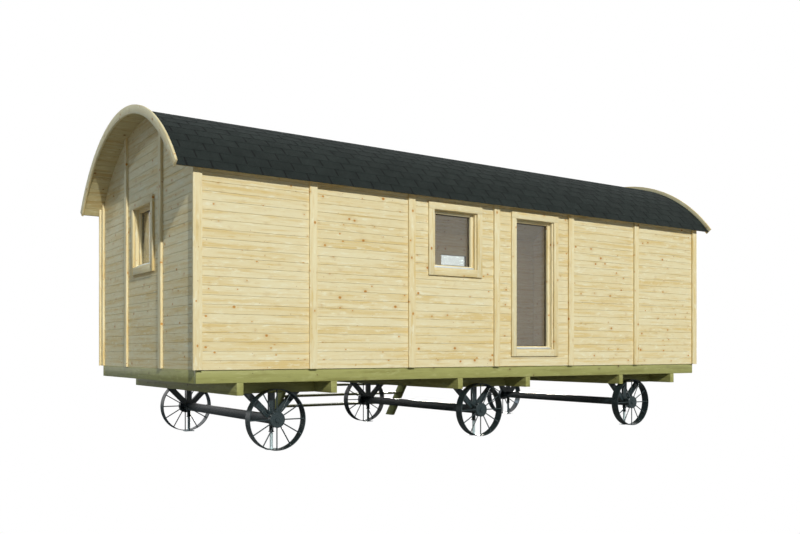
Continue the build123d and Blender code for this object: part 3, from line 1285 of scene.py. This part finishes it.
@dataclass
class Cabin(SubAssembly):
    """The four walls with their battens, and the floor."""

    panels: int = 6
    floor_board: float = 137 * MM
    floor_edge: float = 2 * MM
    batten_edge: float = 2.2 * MM

    def holes(self, face: Face) -> list[Cell]:
        """Window holes in one side of the cabin.

        Args:
            face: The side.

        Returns:
            The holes, linings included.
        """
        grow = Windows.lining + MM
        side = grow + Windows.step
        found = []
        for casing, sash in window_boxes(self.nodes):
            if face_of(casing) == face:
                found.append(face.flatten(sash).inset(-side, -grow))
        return found

    def door_hole(self) -> Cell:
        """The entrance's hole in the back wall."""
        head = Box.of("back_wall_over_door")
        return Cell(head.low.x, head.high.x, Box.of("back_wall_left").low.z, head.low.z)

    def build(self) -> None:
        """Make the walls, battens and floor."""
        near, far, left, right = (Box.of(s.value[0]) for s in (*LONG_SIDES, *GABLES))
        height = (near.low.z, left.high.z)
        deck = Arc.over(self.nodes["roof_deck"])
        arc = Arc(deck.y, deck.z, left.high.z - deck.z)
        pitch = near.size.x / self.panels
        long_joints = [near.low.x + pitch * i for i in range(self.panels + 1)]
        gable_joints = [
            near.low.y + Wall.board,
            arc.y - pitch / 2,
            arc.y + pitch / 2,
            far.high.y - Wall.board,
        ]
        along, across = (left.high.x, right.low.x), (near.high.y, far.low.y)
        for side, name, replaced, joints, inside in (
            (Side.FRONT, "front_boards", ("front_wall",), long_joints, along),
            (Side.BACK, "back_boards", BACK_WALL, long_joints, along),
            (Side.LEFT, "left_gable_boards", ("left_gable",), gable_joints, across),
            (Side.RIGHT, "right_gable_boards", ("right_gable",), gable_joints, across),
        ):
            holes = self.holes(side.face) + ([self.door_hole()] if side is Side.BACK else [])
            wall = Wall(name, replaced, side.face, joints, inside, height, holes, arc)
            wall.build(self.palette)
        for side in ("front", "back", "left_gable", "right_gable"):
            node, spruce = f"{side}_battens", self.palette.spruce
            self.refinish(node, f"{node}_planed", Axis.Z, self.batten_edge, spruce, "spruce")
        self.floor()

    def floor(self) -> None:
        """Lay the floor boards."""
        box = Box.of("floor")
        count = round(box.size.y / self.floor_board)
        width = box.size.y / count
        piece = Piece("floor_planks")
        for i in range(count):
            y = box.low.y + i * width
            low, high = (box.low.x, y, box.low.z), (box.high.x, y + width - MM, box.high.z)
            piece.board(low, high, Axis.X, self.floor_edge)
        piece.dress(self.palette.decking, "deck_boards", ("floor",))


def window_boxes(nodes: Nodes) -> list[tuple[Box, Box]]:
    """Pair each window's casing box with the box of its clear opening.

    Args:
        nodes: The frame's nodes.

    Returns:
        Casing and opening of each window.
    """
    casings = loose_boxes(nodes["window_frames"])
    sashes = loose_boxes(nodes["window_sashes"])
    return [
        (min(casings, key=lambda casing: (casing.middle - sash.middle).length), sash)
        for sash in sashes
    ]


def face_of(box: Box) -> Face:
    """The outer face of the cabin that a casing sits on: the nearest that runs its way."""
    run = Axis.X if box.size.x > box.size.y else Axis.Y
    faces = [side.face for side in (LONG_SIDES if run is Axis.X else GABLES)]
    return min(faces, key=lambda face: abs(face.front - box.middle[1 - run.index]))


@dataclass
class Windows(SubAssembly):
    """Casings, linings, sashes, double panes and rain rails of every window."""

    casing: float = 25 * MM
    lining: float = 20 * MM
    wall: float = 100 * MM
    step: float = 17 * MM
    sash: float = 36 * MM
    sash_front: float = 37 * MM
    sash_depth: float = 60 * MM
    pane_front: float = 28 * MM
    edge: float = 2 * MM
    rail_edge: float = 3 * MM

    def build(self) -> None:
        """Make the casings, sashes, panes and rain rails."""
        casings, sashes = Piece("window_casings"), Piece("window_sash_rails")
        panes = Panes(Piece("window_glass"), Piece("window_seals"), Piece("pane_spacers"))
        for casing_box, sash_box in window_boxes(self.nodes):
            face = face_of(casing_box)
            outer, inner = face.flatten(casing_box), face.flatten(sash_box)
            self.surround(casings, face, outer, inner)
            light = inner.inset(self.sash)
            back = self.sash_front + self.sash_depth
            frame_of_boards(sashes, face, inner, light, self.sash_front, back, self.edge)
            panes.fill(face, light, self.sash_front + self.pane_front)
        casings.dress(self.palette.spruce, "spruce", ("window_frames",))
        sashes.dress(self.palette.spruce, "spruce", ("window_sashes",))
        panes.dress(self.palette, "window_panes")
        metal = self.palette.aluminium
        self.refinish(
            "rain_rails", "rain_rails_drawn", Axis.X, self.rail_edge, metal, "aluminium", rounds=3
        )

    def surround(self, piece: Piece, face: Face, outer: Cell, inner: Cell) -> None:
        """Add one window's casing boards and its lining.

        Args:
            piece: Where the boards go.
            face: Side of the cabin.
            outer: Outline of the casing.
            inner: Outline of the sash.
        """
        left, right = inner.left - self.step, inner.right + self.step
        head, sill = inner.top, inner.base
        along, up = face.run, Axis.Z
        for cell, grain in (
            (Cell(outer.left, outer.right, head, outer.top), along),
            (Cell(outer.left, left, outer.base, head), up),
            (Cell(right, outer.right, outer.base, head), up),
            (Cell(left, right, outer.base, sill), along),
        ):
            piece.board(*face.corners(cell, -self.casing, 0), grain, self.edge, rounds=2)
        deep = self.lining
        for cell, grain in (
            (Cell(left - deep, right + deep, head, head + deep), along),
            (Cell(left - deep, right + deep, sill - deep, sill), along),
            (Cell(left - deep, inner.left, sill, head), up),
            (Cell(inner.right, right + deep, sill, head), up),
        ):
            piece.board(*face.corners(cell, 0, self.wall), grain, self.edge)


def frame_of_boards(
    piece: Piece, face: Face, outer: Cell, inner: Cell, near: float, far: float, edge: float
) -> None:
    """Add two stiles and the rails between them.

    Args:
        piece: Where the boards go.
        face: Side of the cabin.
        outer: Outline of the frame.
        inner: Its opening.
        near: Depth of its front.
        far: Depth of its back.
        edge: Width of the rounding.
    """
    for cell, grain in (
        (Cell(outer.left, inner.left, outer.base, outer.top), Axis.Z),
        (Cell(inner.right, outer.right, outer.base, outer.top), Axis.Z),
        (Cell(inner.left, inner.right, outer.base, inner.base), face.run),
        (Cell(inner.left, inner.right, inner.top, outer.top), face.run),
    ):
        piece.board(*face.corners(cell, near, far), grain, edge, rounds=2)


@dataclass
class Panes:
    """Double panes: two sheets each, the spacer bar between them and the outer seal."""

    sheets: Piece
    seals: Piece
    spacers: Piece
    pane: float = 24 * MM
    sheet: float = 4 * MM
    seal: float = 3 * MM
    seal_depth: tuple[float, float] = (1.5 * MM, 0.1 * MM)
    arris: float = 0.3 * MM

    def fill(self, face: Face, light: Cell, front: float) -> None:
        """Add one double pane.

        Args:
            face: Side of the cabin.
            light: Outline of the pane.
            front: Depth of its front.
        """
        back = front + self.pane
        for near, far in ((front, front + self.sheet), (back - self.sheet, back)):
            self.sheets.board(*face.corners(light.inset(MM), near, far), face.run, self.arris)
        proud, gap = self.seal_depth
        for piece, width, near, far in (
            (self.seals, self.seal, front - proud, front - gap),
            (self.spacers, 3 * self.seal, front + self.sheet, back - self.sheet),
        ):
            frame_of_boards(piece, face, light, light.inset(width), near, far, self.arris)

    def dress(self, palette: Palette, node: str) -> None:
        """Give the glass, the seals and the spacer bars their finishes.

        Args:
            palette: The finishes.
            node: Frame node that the glass stands for.
        """
        self.sheets.dress(palette.glass, "glass", (node,))
        self.seals.dress(palette.seal, "black_iron")
        self.spacers.dress(palette.bronze, "aluminium")


@dataclass
class Entrance(SubAssembly):
    """Door frame, the two glazed leaves and the handle."""

    leaf_front: float = 20 * MM
    leaf_depth: float = 56 * MM
    stile: float = 110 * MM
    rail: float = 180 * MM
    edge: float = 2.5 * MM
    handle_edge: float = 1.2 * MM

    def build(self) -> None:
        """Make the entrance."""
        spruce = self.palette.spruce
        self.refinish("door_frame", "door_casing", Axis.Z, self.edge, spruce, "spruce")
        face = Side.BACK.face
        panes = Panes(Piece("door_glass"), Piece("door_seals"), Piece("door_spacers"))
        for side in ("left", "right"):
            node = f"{side}_door_leaf"
            outer = face.flatten(Box.of(node))
            light = outer.inset(self.stile, self.rail)
            leaf = Piece(f"{side}_door_rails")
            back = self.leaf_front + self.leaf_depth
            frame_of_boards(leaf, face, outer, light, self.leaf_front, back, self.edge)
            leaf.dress(spruce, "spruce", (node,))
            panes.fill(face, light, (self.leaf_front + back - panes.pane) / 2)
        panes.dress(self.palette, "door_panes")
        steel = self.palette.steel
        self.refinish(
            "door_handle", "door_handle_turned", Axis.X, self.handle_edge, steel, "handle", rounds=2
        )


# ---------------------------------------------------------------- roof


@dataclass
class Roof(SubAssembly):
    """Lengthwise deck boards, felt, shingles in courses and the arched barge boards."""

    deck_board: float = 98 * MM
    deck_depth: float = 20 * MM
    deck_gap: float = 2 * MM
    cover: float = 5 * MM
    felt: float = 0.8 * MM
    exposure: float = 140 * MM
    first_exposure: float = 115 * MM
    lap: float = 25 * MM
    tab: float = 250 * MM
    slot: float = 15 * MM
    tab_start: float = 95 * MM
    butt_shares: tuple[float, float] = (0.42, 0.90)
    head_shares: tuple[float, float] = (0.22, 0.45)
    cap_half: float = 120 * MM
    cap_share: float = 0.6
    cap_steps: int = 8
    cap_gap: float = 2 * MM
    barge_height: float = 90 * MM
    barge_edge: float = 3 * MM
    barge_steps: int = 64

    def __post_init__(self) -> None:
        """Find the deck's box and the arc of its outer face."""
        self.box = Box.of("roof_deck")
        self.arc = Arc.over(self.nodes["roof_deck"])

    def build(self) -> None:
        """Make the roof."""
        self.deck()
        self.underlay()
        self.shingles()
        for side in ("left", "right"):
            self.barge(f"{side}_barge_board")

    def deck(self) -> None:
        """Lay the deck boards round the arc."""
        box, arc = self.box, self.arc
        half = arc.half_turn(box.size.y)
        count = round(2 * half * arc.radius / self.deck_board)
        turn = 2 * half / count
        inner = arc.radius - self.deck_depth
        width = 2 * inner * sin(turn / 2) - self.deck_gap
        piece = Piece("roof_planks")
        centre = Vector((box.middle.x, arc.y, arc.z))
        for i in range(count):
            part = block(
                (box.low.x, arc.y - width / 2, arc.z + inner),
                (box.high.x, arc.y + width / 2, arc.z + arc.radius * cos(turn / 2)),
            )
            soften(part, self.deck_gap)
            angle = half - turn * (i + 0.5)
            spun = Matrix.Rotation(angle, 3, "X")
            bmesh.ops.rotate(part, cent=centre, matrix=spun, verts=part.verts[:])
            piece.take(part, unrolled(arc, -angle))
        piece.dress(self.palette.decking, "deck_boards", ("roof_deck",))

    @property
    def skin_turn(self) -> float:
        """Angle from the crown to the eave's edge of the shingles."""
        return self.arc.half_turn(Box.of("roof_shingles").size.y)

    def underlay(self) -> None:
        """Lay the felt under the shingles; its dark colour, seen through the slots between tabs, is
        partly painted shade of the slots.
        """
        box, arc = self.box, self.arc
        piece = Piece("roof_underlay")
        top = arc.radius + self.felt
        felt = swept(arc, box.low.x, box.high.x, arc.radius, top, self.skin_turn)
        piece.take(felt, unrolled(arc))
        piece.dress(self.palette.bitumen_and_painted_slot_shade, "shingles")

    def shingles(self) -> None:
        """Lay the courses of tabs and the ridge caps."""
        box, arc = self.box, self.arc
        piece = Piece("roof_tabs")
        butts = [self.skin_turn * arc.radius]
        place = butts[0] - self.first_exposure
        while place > self.lap:
            butts.append(place)
            place -= self.exposure
        for side in (-1, 1):
            for row, (butt, above) in enumerate(zip(butts, (*butts[1:], 0.0))):
                offset = self.tab_start + (self.tab / 2 if row % 2 else 0.0)
                self.course(piece, side, (butt, above - self.lap), offset)
        under, over = arc.radius + self.cap_share * self.cover, arc.radius + self.cover
        pitch = self.exposure + self.lap
        x = box.low.x
        while x < box.high.x - self.lap:
            end = min(x + pitch, box.high.x)
            half = self.cap_half / arc.radius
            cap = swept(arc, x, end, under, over, half, self.cap_steps)
            piece.take(cap, unrolled(arc))
            x += pitch + self.cap_gap
        piece.dress(self.palette.shingles, "shingles", ("roof_shingles",))

    def course(self, piece: Piece, side: int, rows: tuple[float, float], offset: float) -> None:
        """Lay one course of tabs.

        Args:
            piece: Where the tabs go.
            side: -1 for the near slope, 1 for the far one.
            rows: Arc distance of the tabs' lower and upper edge from the crown.
            offset: Place of the first slot from the end of the roof.
        """
        x, half = self.box.low.x + offset - self.tab, self.slot / 2
        while x < self.box.high.x:
            start = max(x + half, self.box.low.x)
            end = min(x + self.tab - half, self.box.high.x)
            if end - start > self.slot:
                piece.take(self.tab_shape(side, rows, start, end), unrolled(self.arc))
            x += self.tab

    def tab_shape(self, side: int, rows: tuple[float, float], start: float, end: float) -> BMesh:
        """One tab: a thin wedge that follows the arc, thickest at its lower edge.

        Args:
            side: Slope that it lies on.
            rows: Arc distance of its lower and upper edge from the crown.
            start: Where it starts along the roof.
            end: Where it ends.

        Returns:
            The tab.
        """
        butt, head = rows
        part = bmesh.new()
        ring = []
        for (low, high), stops in zip(
            zip(self.butt_shares, self.head_shares), ((0.0, 0.5, 1.0), (1.0, 0.5, 0.0))
        ):
            for share in stops:
                angle = side * (butt + (head - butt) * share) / self.arc.radius
                lift = self.cover * (low + (high - low) * share)
                place = self.arc.point(angle, self.arc.radius + lift, start)
                ring.append(part.verts.new(place))
        profile = part.faces.new(ring)
        grown = bmesh.ops.extrude_face_region(part, geom=[profile])
        verts = [item for item in grown["geom"] if isinstance(item, bmesh.types.BMVert)]
        bmesh.ops.translate(part, verts=verts, vec=Vector((end - start, 0, 0)))
        bmesh.ops.recalc_face_normals(part, faces=part.faces[:])
        return part

    def barge(self, node: str) -> None:
        """Make one arched board at the roof's end, about the deck's axis.

        Args:
            node: The board's frame node.
        """
        box = Box.of(node)
        arc = Arc(self.arc.y, self.arc.z, box.high.z - self.arc.z)
        half = arc.half_turn(box.size.y)
        inner = arc.radius - self.barge_height
        board = swept(arc, box.low.x, box.high.x, inner, arc.radius, half, self.barge_steps)
        soften(board, self.barge_edge, 2)
        piece = Piece(f"{node}_planed")

        def along_arc(p: Vector) -> Vector:
            """Fibres that follow the arc."""
            angle, radius = arc.polar(p)
            return Vector((angle * arc.radius, radius - inner, p.x - box.low.x))

        piece.take(board, along_arc)
        piece.dress(self.palette.spruce, "spruce", (node,))


def unrolled(arc: Arc, start: float = 0.0) -> GrainRule:
    """Grain that runs along the cabin on an arched surface, unrolled from an angle."""

    def rule(p: Vector) -> Vector:
        """Place along, round and through the arc."""
        angle, radius = arc.polar(p)
        return Vector((p.x, (angle - start) * arc.radius, radius - arc.radius))

    return rule


def swept(
    arc: Arc, start: float, end: float, inner: float, outer: float, half: float, steps: int = 48
) -> BMesh:
    """Sweep a rectangle round the roof's axis.

    Args:
        arc: Gives the axis.
        start: Where it starts along the cabin.
        end: Where it ends.
        inner: Inner radius.
        outer: Outer radius.
        half: Angle that it reaches to each side of the crown.
        steps: Faces along it.

    Returns:
        The closed band.
    """
    part = bmesh.new()
    places = ((start, inner), (end, inner), (end, outer), (start, outer))
    profile = part.faces.new([part.verts.new(arc.point(-half, r, x)) for x, r in places])
    bmesh.ops.spin(
        part,
        geom=[profile, *profile.edges, *profile.verts],
        cent=Vector((0, arc.y, arc.z)),
        axis=Vector((-1, 0, 0)),
        angle=2 * half,
        steps=steps,
        use_merge=False,
    )
    bmesh.ops.recalc_face_normals(part, faces=part.faces[:])
    return part


# ---------------------------------------------------------------- underframe and running gear


@dataclass
class Underframe(SubAssembly):
    """Pressure-treated beams below the floor, and the stair to the entrance."""

    edge: float = 4 * MM

    def build(self) -> None:
        """Make the beams and the stair."""
        beam, stair = ("sawn", "treated_timber"), ("planed", "stair_timber")
        for node, along, (cut, slot) in (
            ("side_beams", Axis.X, beam),
            ("end_beams", Axis.Y, beam),
            ("floor_joists", Axis.X, beam),
            ("cross_beams", Axis.Y, beam),
            ("axle_bearers", Axis.X, beam),
            ("stair_stringers", Axis.Z, stair),
            ("stair_treads", Axis.X, stair),
        ):
            treated = self.palette.treated
            self.refinish(node, f"{node}_{cut}", along, self.edge, treated, slot, rounds=2)


@dataclass
class Axles(SubAssembly):
    """Axle beams, strut brackets with their stubs, and the screw jacks."""

    beam_edge: float = 3 * MM
    strut_edge: float = 1.5 * MM
    jack_edge: float = 1.2 * MM
    thread: float = 6 * MM
    thread_depth: float = 1.6 * MM
    plain_threads: int = 3
    foot: float = 8 * MM
    foot_corner: float = 14 * MM
    foot_rounds: int = 5
    screw: float = 17 * MM
    screw_sunk: float = 0.5 * MM
    screw_faces: int = 20

    def build(self) -> None:
        """Make the axles and jacks."""
        for node, name, along, edge, rounds in (
            ("axle_beams", "axle_bars", Axis.Y, self.beam_edge, 2),
            ("axle_brackets", "axle_struts", Axis.Z, self.strut_edge, 1),
            ("jack_tubes", "jack_sleeves", Axis.Z, self.jack_edge, 1),
        ):
            self.refinish(node, name, along, edge, self.palette.iron, "black_iron", rounds)
        piece = Piece("jack_screws")
        for box in loose_boxes(self.nodes["jack_feet"]):
            plate = block(box.low, (box.high.x, box.high.y, box.low.z + self.foot))
            upright = [e for e in plate.edges if abs((e.verts[0].co - e.verts[1].co).z) > MM]
            round_off(plate, upright, self.foot_corner, self.foot_rounds)
            soften(plate, self.jack_edge, 2, 40)
            piece.take(plate, own_place)
            piece.take(self.threaded(box), own_place)
        piece.dress(self.palette.zinc, "galvanised", ("jack_feet",))

    def threaded(self, box: Box) -> BMesh:
        """One screw, with its thread as rings.

        Args:
            box: Box of the jack's foot and screw.

        Returns:
            The screw.
        """
        base, height = self.foot - self.screw_sunk, box.size.z
        place = base + self.plain_threads * self.thread
        profile = [(0.0, base), (self.screw, base), (self.screw, place)]
        while place + self.thread < height:
            profile.append((self.screw - self.thread_depth, place + self.thread / 2))
            profile.append((self.screw, place + self.thread))
            place += self.thread
        profile += [(self.screw, height), (0.0, height)]
        centre = Vector((box.middle.x, box.middle.y, box.low.z))
        return turned(profile, centre, Axis.Z, self.screw_faces, closed=False)


@dataclass
class Wheel:
    """An iron wheel: a flat tyre, a drum hub with a raised ring, and welded spokes."""

    name: str
    palette: Palette
    spokes: int = 12
    spoke_faces: int = 16
    tyre_faces: int = 96
    hub_faces: int = 48
    tyre: float = 8 * MM
    round: float = 1.6 * MM
    hub_radius: float = 82 * MM
    hub_length: float = 66 * MM
    hub_inset: float = 10 * MM
    bore: float = 28.2 * MM
    spoke_radius: float = 6.5 * MM
    spoke_inset: float = 30 * MM
    weld: float = 9.5 * MM
    weld_length: float = 6 * MM
    weld_sunk: float = 0.5 * MM
    root_sunk: float = 4 * MM
    tip_sunk: float = 1 * MM
    collar: float = 16 * MM
    slope: float = 2 * MM
    groove: float = 3 * MM
    lip: float = 8 * MM
    lip_drop: float = 0.5 * MM

    def build(self) -> None:
        """Make the tyre, then the hub with its spokes."""
        box = Box.of(f"{self.name}_rim")
        side = -1 if self.name.startswith("near") else 1
        face = box.low.y if side < 0 else box.high.y
        radius = box.size.x / 2
        centre = Vector((box.middle.x, face, box.middle.z))
        tyre = Piece(f"{self.name}_tyre")
        tyre.take(self.band(centre, radius, box.size.y, side), own_place)
        tyre.dress(self.palette.iron, "black_iron", (f"{self.name}_rim",), self.name)
        middle = Piece(f"{self.name}_hub")
        middle.take(self.drum(centre, side), own_place)
        hub = centre - Vector((0, side * self.spoke_inset, 0))
        inner = radius - self.tyre
        for i in range(self.spokes):
            angle = 2 * pi * i / self.spokes
            out = Vector((cos(angle), 0, sin(angle)))
            root = hub + out * (self.hub_radius - self.root_sunk)
            tip = hub + out * (inner + self.tip_sunk)
            bar = rod(root, tip, self.spoke_radius, self.spoke_radius, self.spoke_faces)
            middle.take(bar, own_place)
            for reach, back in ((inner - self.weld_sunk, -1), (self.hub_radius, 1)):
                end = hub + out * reach
                tail = end + out * back * self.weld_length
                bead = rod(end, tail, self.weld, self.spoke_radius, self.spoke_faces)
                middle.take(bead, own_place)
        middle.dress(self.palette.iron, "black_iron", (f"{self.name}_spokes",), self.name)

    def band(self, centre: Vector, radius: float, width: float, side: int) -> BMesh:
        """The tyre.

        Args:
            centre: Middle of its outer side.
            radius: Outer radius.
            width: Width of its tread.
            side: Direction of its outer side along Y.

        Returns:
            The tyre.
        """
        inner, r = radius - self.tyre, self.round
        back = -side * width
        s = -side * r
        profile = [
            (inner, s),
            (inner + r, 0.0),
            (radius - r, 0.0),
            (radius, s),
            (radius, back - s),
            (radius - r, back),
            (inner + r, back),
            (inner, back - s),
        ]
        return turned(profile, centre, Axis.Y, self.tyre_faces, closed=True)

    def drum(self, centre: Vector, side: int) -> BMesh:
        """The hub: a drum with a raised ring on its face, open for the axle's stub.

        Args:
            centre: Middle of the wheel's outer side.
            side: Direction of its outer side along Y.

        Returns:
            The hub.
        """
        big, hole, r = self.hub_radius, self.bore, self.groove
        ring, rim = hole + self.collar, big - self.lip
        outward = [
            (hole, 0.0),
            (ring, 0.0),
            (ring + self.slope, -self.groove),
            (rim - self.slope, -self.groove),
            (rim, -self.lip_drop),
            (big - r, -self.lip_drop),
            (big, -r),
            (big, r - self.hub_length),
            (big - r, -self.hub_length),
            (hole, -self.hub_length),
        ]
        face = -self.hub_inset
        profile = [(radius, side * (place + face)) for radius, place in outward]
        return turned(profile, centre, Axis.Y, self.hub_faces, closed=True)


# ---------------------------------------------------------------- stage


@dataclass(frozen=True)
class Lamp:
    """A far light: the way it shines, its strength and colour, and how wide it looks."""

    name: str
    way: Triple
    strength: float
    colour: Colour
    width: float

    def build(self, scene: bpy.types.Scene) -> None:
        """Hang the lamp in the scene."""
        data = bpy.data.lights.new(self.name, "SUN")
        data.energy, data.color, data.angle = self.strength, self.colour, radians(self.width)
        lamp = bpy.data.objects.new(self.name, data)
        lamp.rotation_euler = Vector(self.way).to_track_quat("-Z", "Y").to_euler()
        scene.collection.objects.link(lamp)


@dataclass
class Stage:
    """Pale floor, soft daylight with a low sun, and the camera."""

    camera_from_cabin: Triple = (-6.3961, -9.096, 0.9994)
    heading: float = 0.5937
    lens: float = 37.942
    rise: float = 0.1059
    lamps: tuple[Lamp, ...] = (
        Lamp("sun", (0.165, 0.87, -0.47), 2.75, (0.98, 1.0, 0.95), 0.8),
        Lamp("fill", (0.58, -0.73, -0.60), 0.61, (0.66, 0.84, 1.0), 4),
        Lamp("back", (-0.62, -0.77, -0.12), 1.9, (1.0, 0.96, 0.88), 12),
    )
    sky_colour: Colour = (0.62, 0.82, 1.0)
    sky_strength: float = 0.20
    room_light: float = 17.0
    room_colour: Colour = (1.0, 0.97, 0.90)
    room_height: float = 2.1
    room_share: tuple[float, float] = (0.8, 0.3)
    floor_size: float = 90.0
    floor_colour: Colour = (0.30, 0.30, 0.30)

    def build(self) -> None:
        """Make the floor, the light and the camera."""
        scene = bpy.context.scene
        scene.view_settings.view_transform = "Standard"
        self.floor()
        self.light(scene)
        gable = Box.of("left_gable")
        data = bpy.data.cameras.new("camera")
        data.lens, data.shift_y = self.lens, self.rise
        data.clip_end = 4 * self.floor_size
        camera = bpy.data.objects.new("camera", data)
        camera.location = Vector(self.camera_from_cabin) + Vector((0, gable.middle.y, 0))
        camera.rotation_euler = (pi / 2, 0, -self.heading)
        scene.collection.objects.link(camera)
        scene.camera = camera

    def floor(self) -> None:
        """Lay a plain pale floor that glows a little, so that its far edge meets the backdrop."""
        part = bmesh.new()
        bmesh.ops.create_grid(part, x_segments=4, y_segments=4, size=self.floor_size)
        mesh = bpy.data.meshes.new("stage_floor")
        part.to_mesh(mesh)
        part.free()
        shader = Shader("stage_floor")
        seen = shader.add("ShaderNodeLightPath", {}, {}).outputs["Is Camera Ray"]
        glow = shader.add("ShaderNodeEmission", {}, {"Color": WHITE, "Strength": 1.0})
        matt = shader.add("ShaderNodeBsdfDiffuse", {}, {"Color": self.floor_colour})
        mesh.materials.append(shader.close(shader.mix(seen, matt, glow)))
        floor = bpy.data.objects.new("stage_floor", mesh)
        bpy.context.scene.collection.objects.link(floor)

    def light(self, scene: bpy.types.Scene) -> None:
        """Set the lamps, a light in the room and a sky that shines less than it shows.

        Args:
            scene: The scene to light.
        """
        for lamp in self.lamps:
            lamp.build(scene)
        room = Box.of("floor")
        length, width = self.room_share
        data = bpy.data.lights.new("room", "AREA")
        data.energy, data.shape, data.color = self.room_light, "RECTANGLE", self.room_colour
        data.size, data.size_y = length * room.size.x, width * room.size.y
        lamp = bpy.data.objects.new("room", data)
        lamp.location = room.middle + Vector((0, 0, self.room_height))
        lamp.visible_camera = lamp.visible_glossy = False
        scene.collection.objects.link(lamp)
        sky = Shader("sky", bpy.data.worlds.new("sky"))
        path = sky.add("ShaderNodeLightPath", {}, {})
        seen = Signal(sky, path.outputs["Is Camera Ray"])
        mirrored = Signal(sky, path.outputs["Is Glossy Ray"])
        glow, backdrop = (
            sky.add("ShaderNodeBackground", {}, {"Color": colour, "Strength": strength})
            for colour, strength in ((self.sky_colour, self.sky_strength), (WHITE, 1.0))
        )
        surface = sky.mix(seen.math("MAXIMUM", mirrored), glow, backdrop)
        scene.world = sky.close(surface, "ShaderNodeOutputWorld")


def main() -> None:
    """Load the frame, build each sub-assembly round it and set the stage."""
    logging.basicConfig(level=logging.INFO, format="%(name)s %(message)s")
    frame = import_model()
    nodes = frame["nodes"]
    palette = Palette()
    for kind in (Cabin, Windows, Entrance, Roof, Underframe, Axles):
        kind(nodes, palette).build()
    for joint in frame["joints"]:
        Wheel(joint["child"], palette).build()
    Stage().build()


if __name__ == "__main__":
    main()
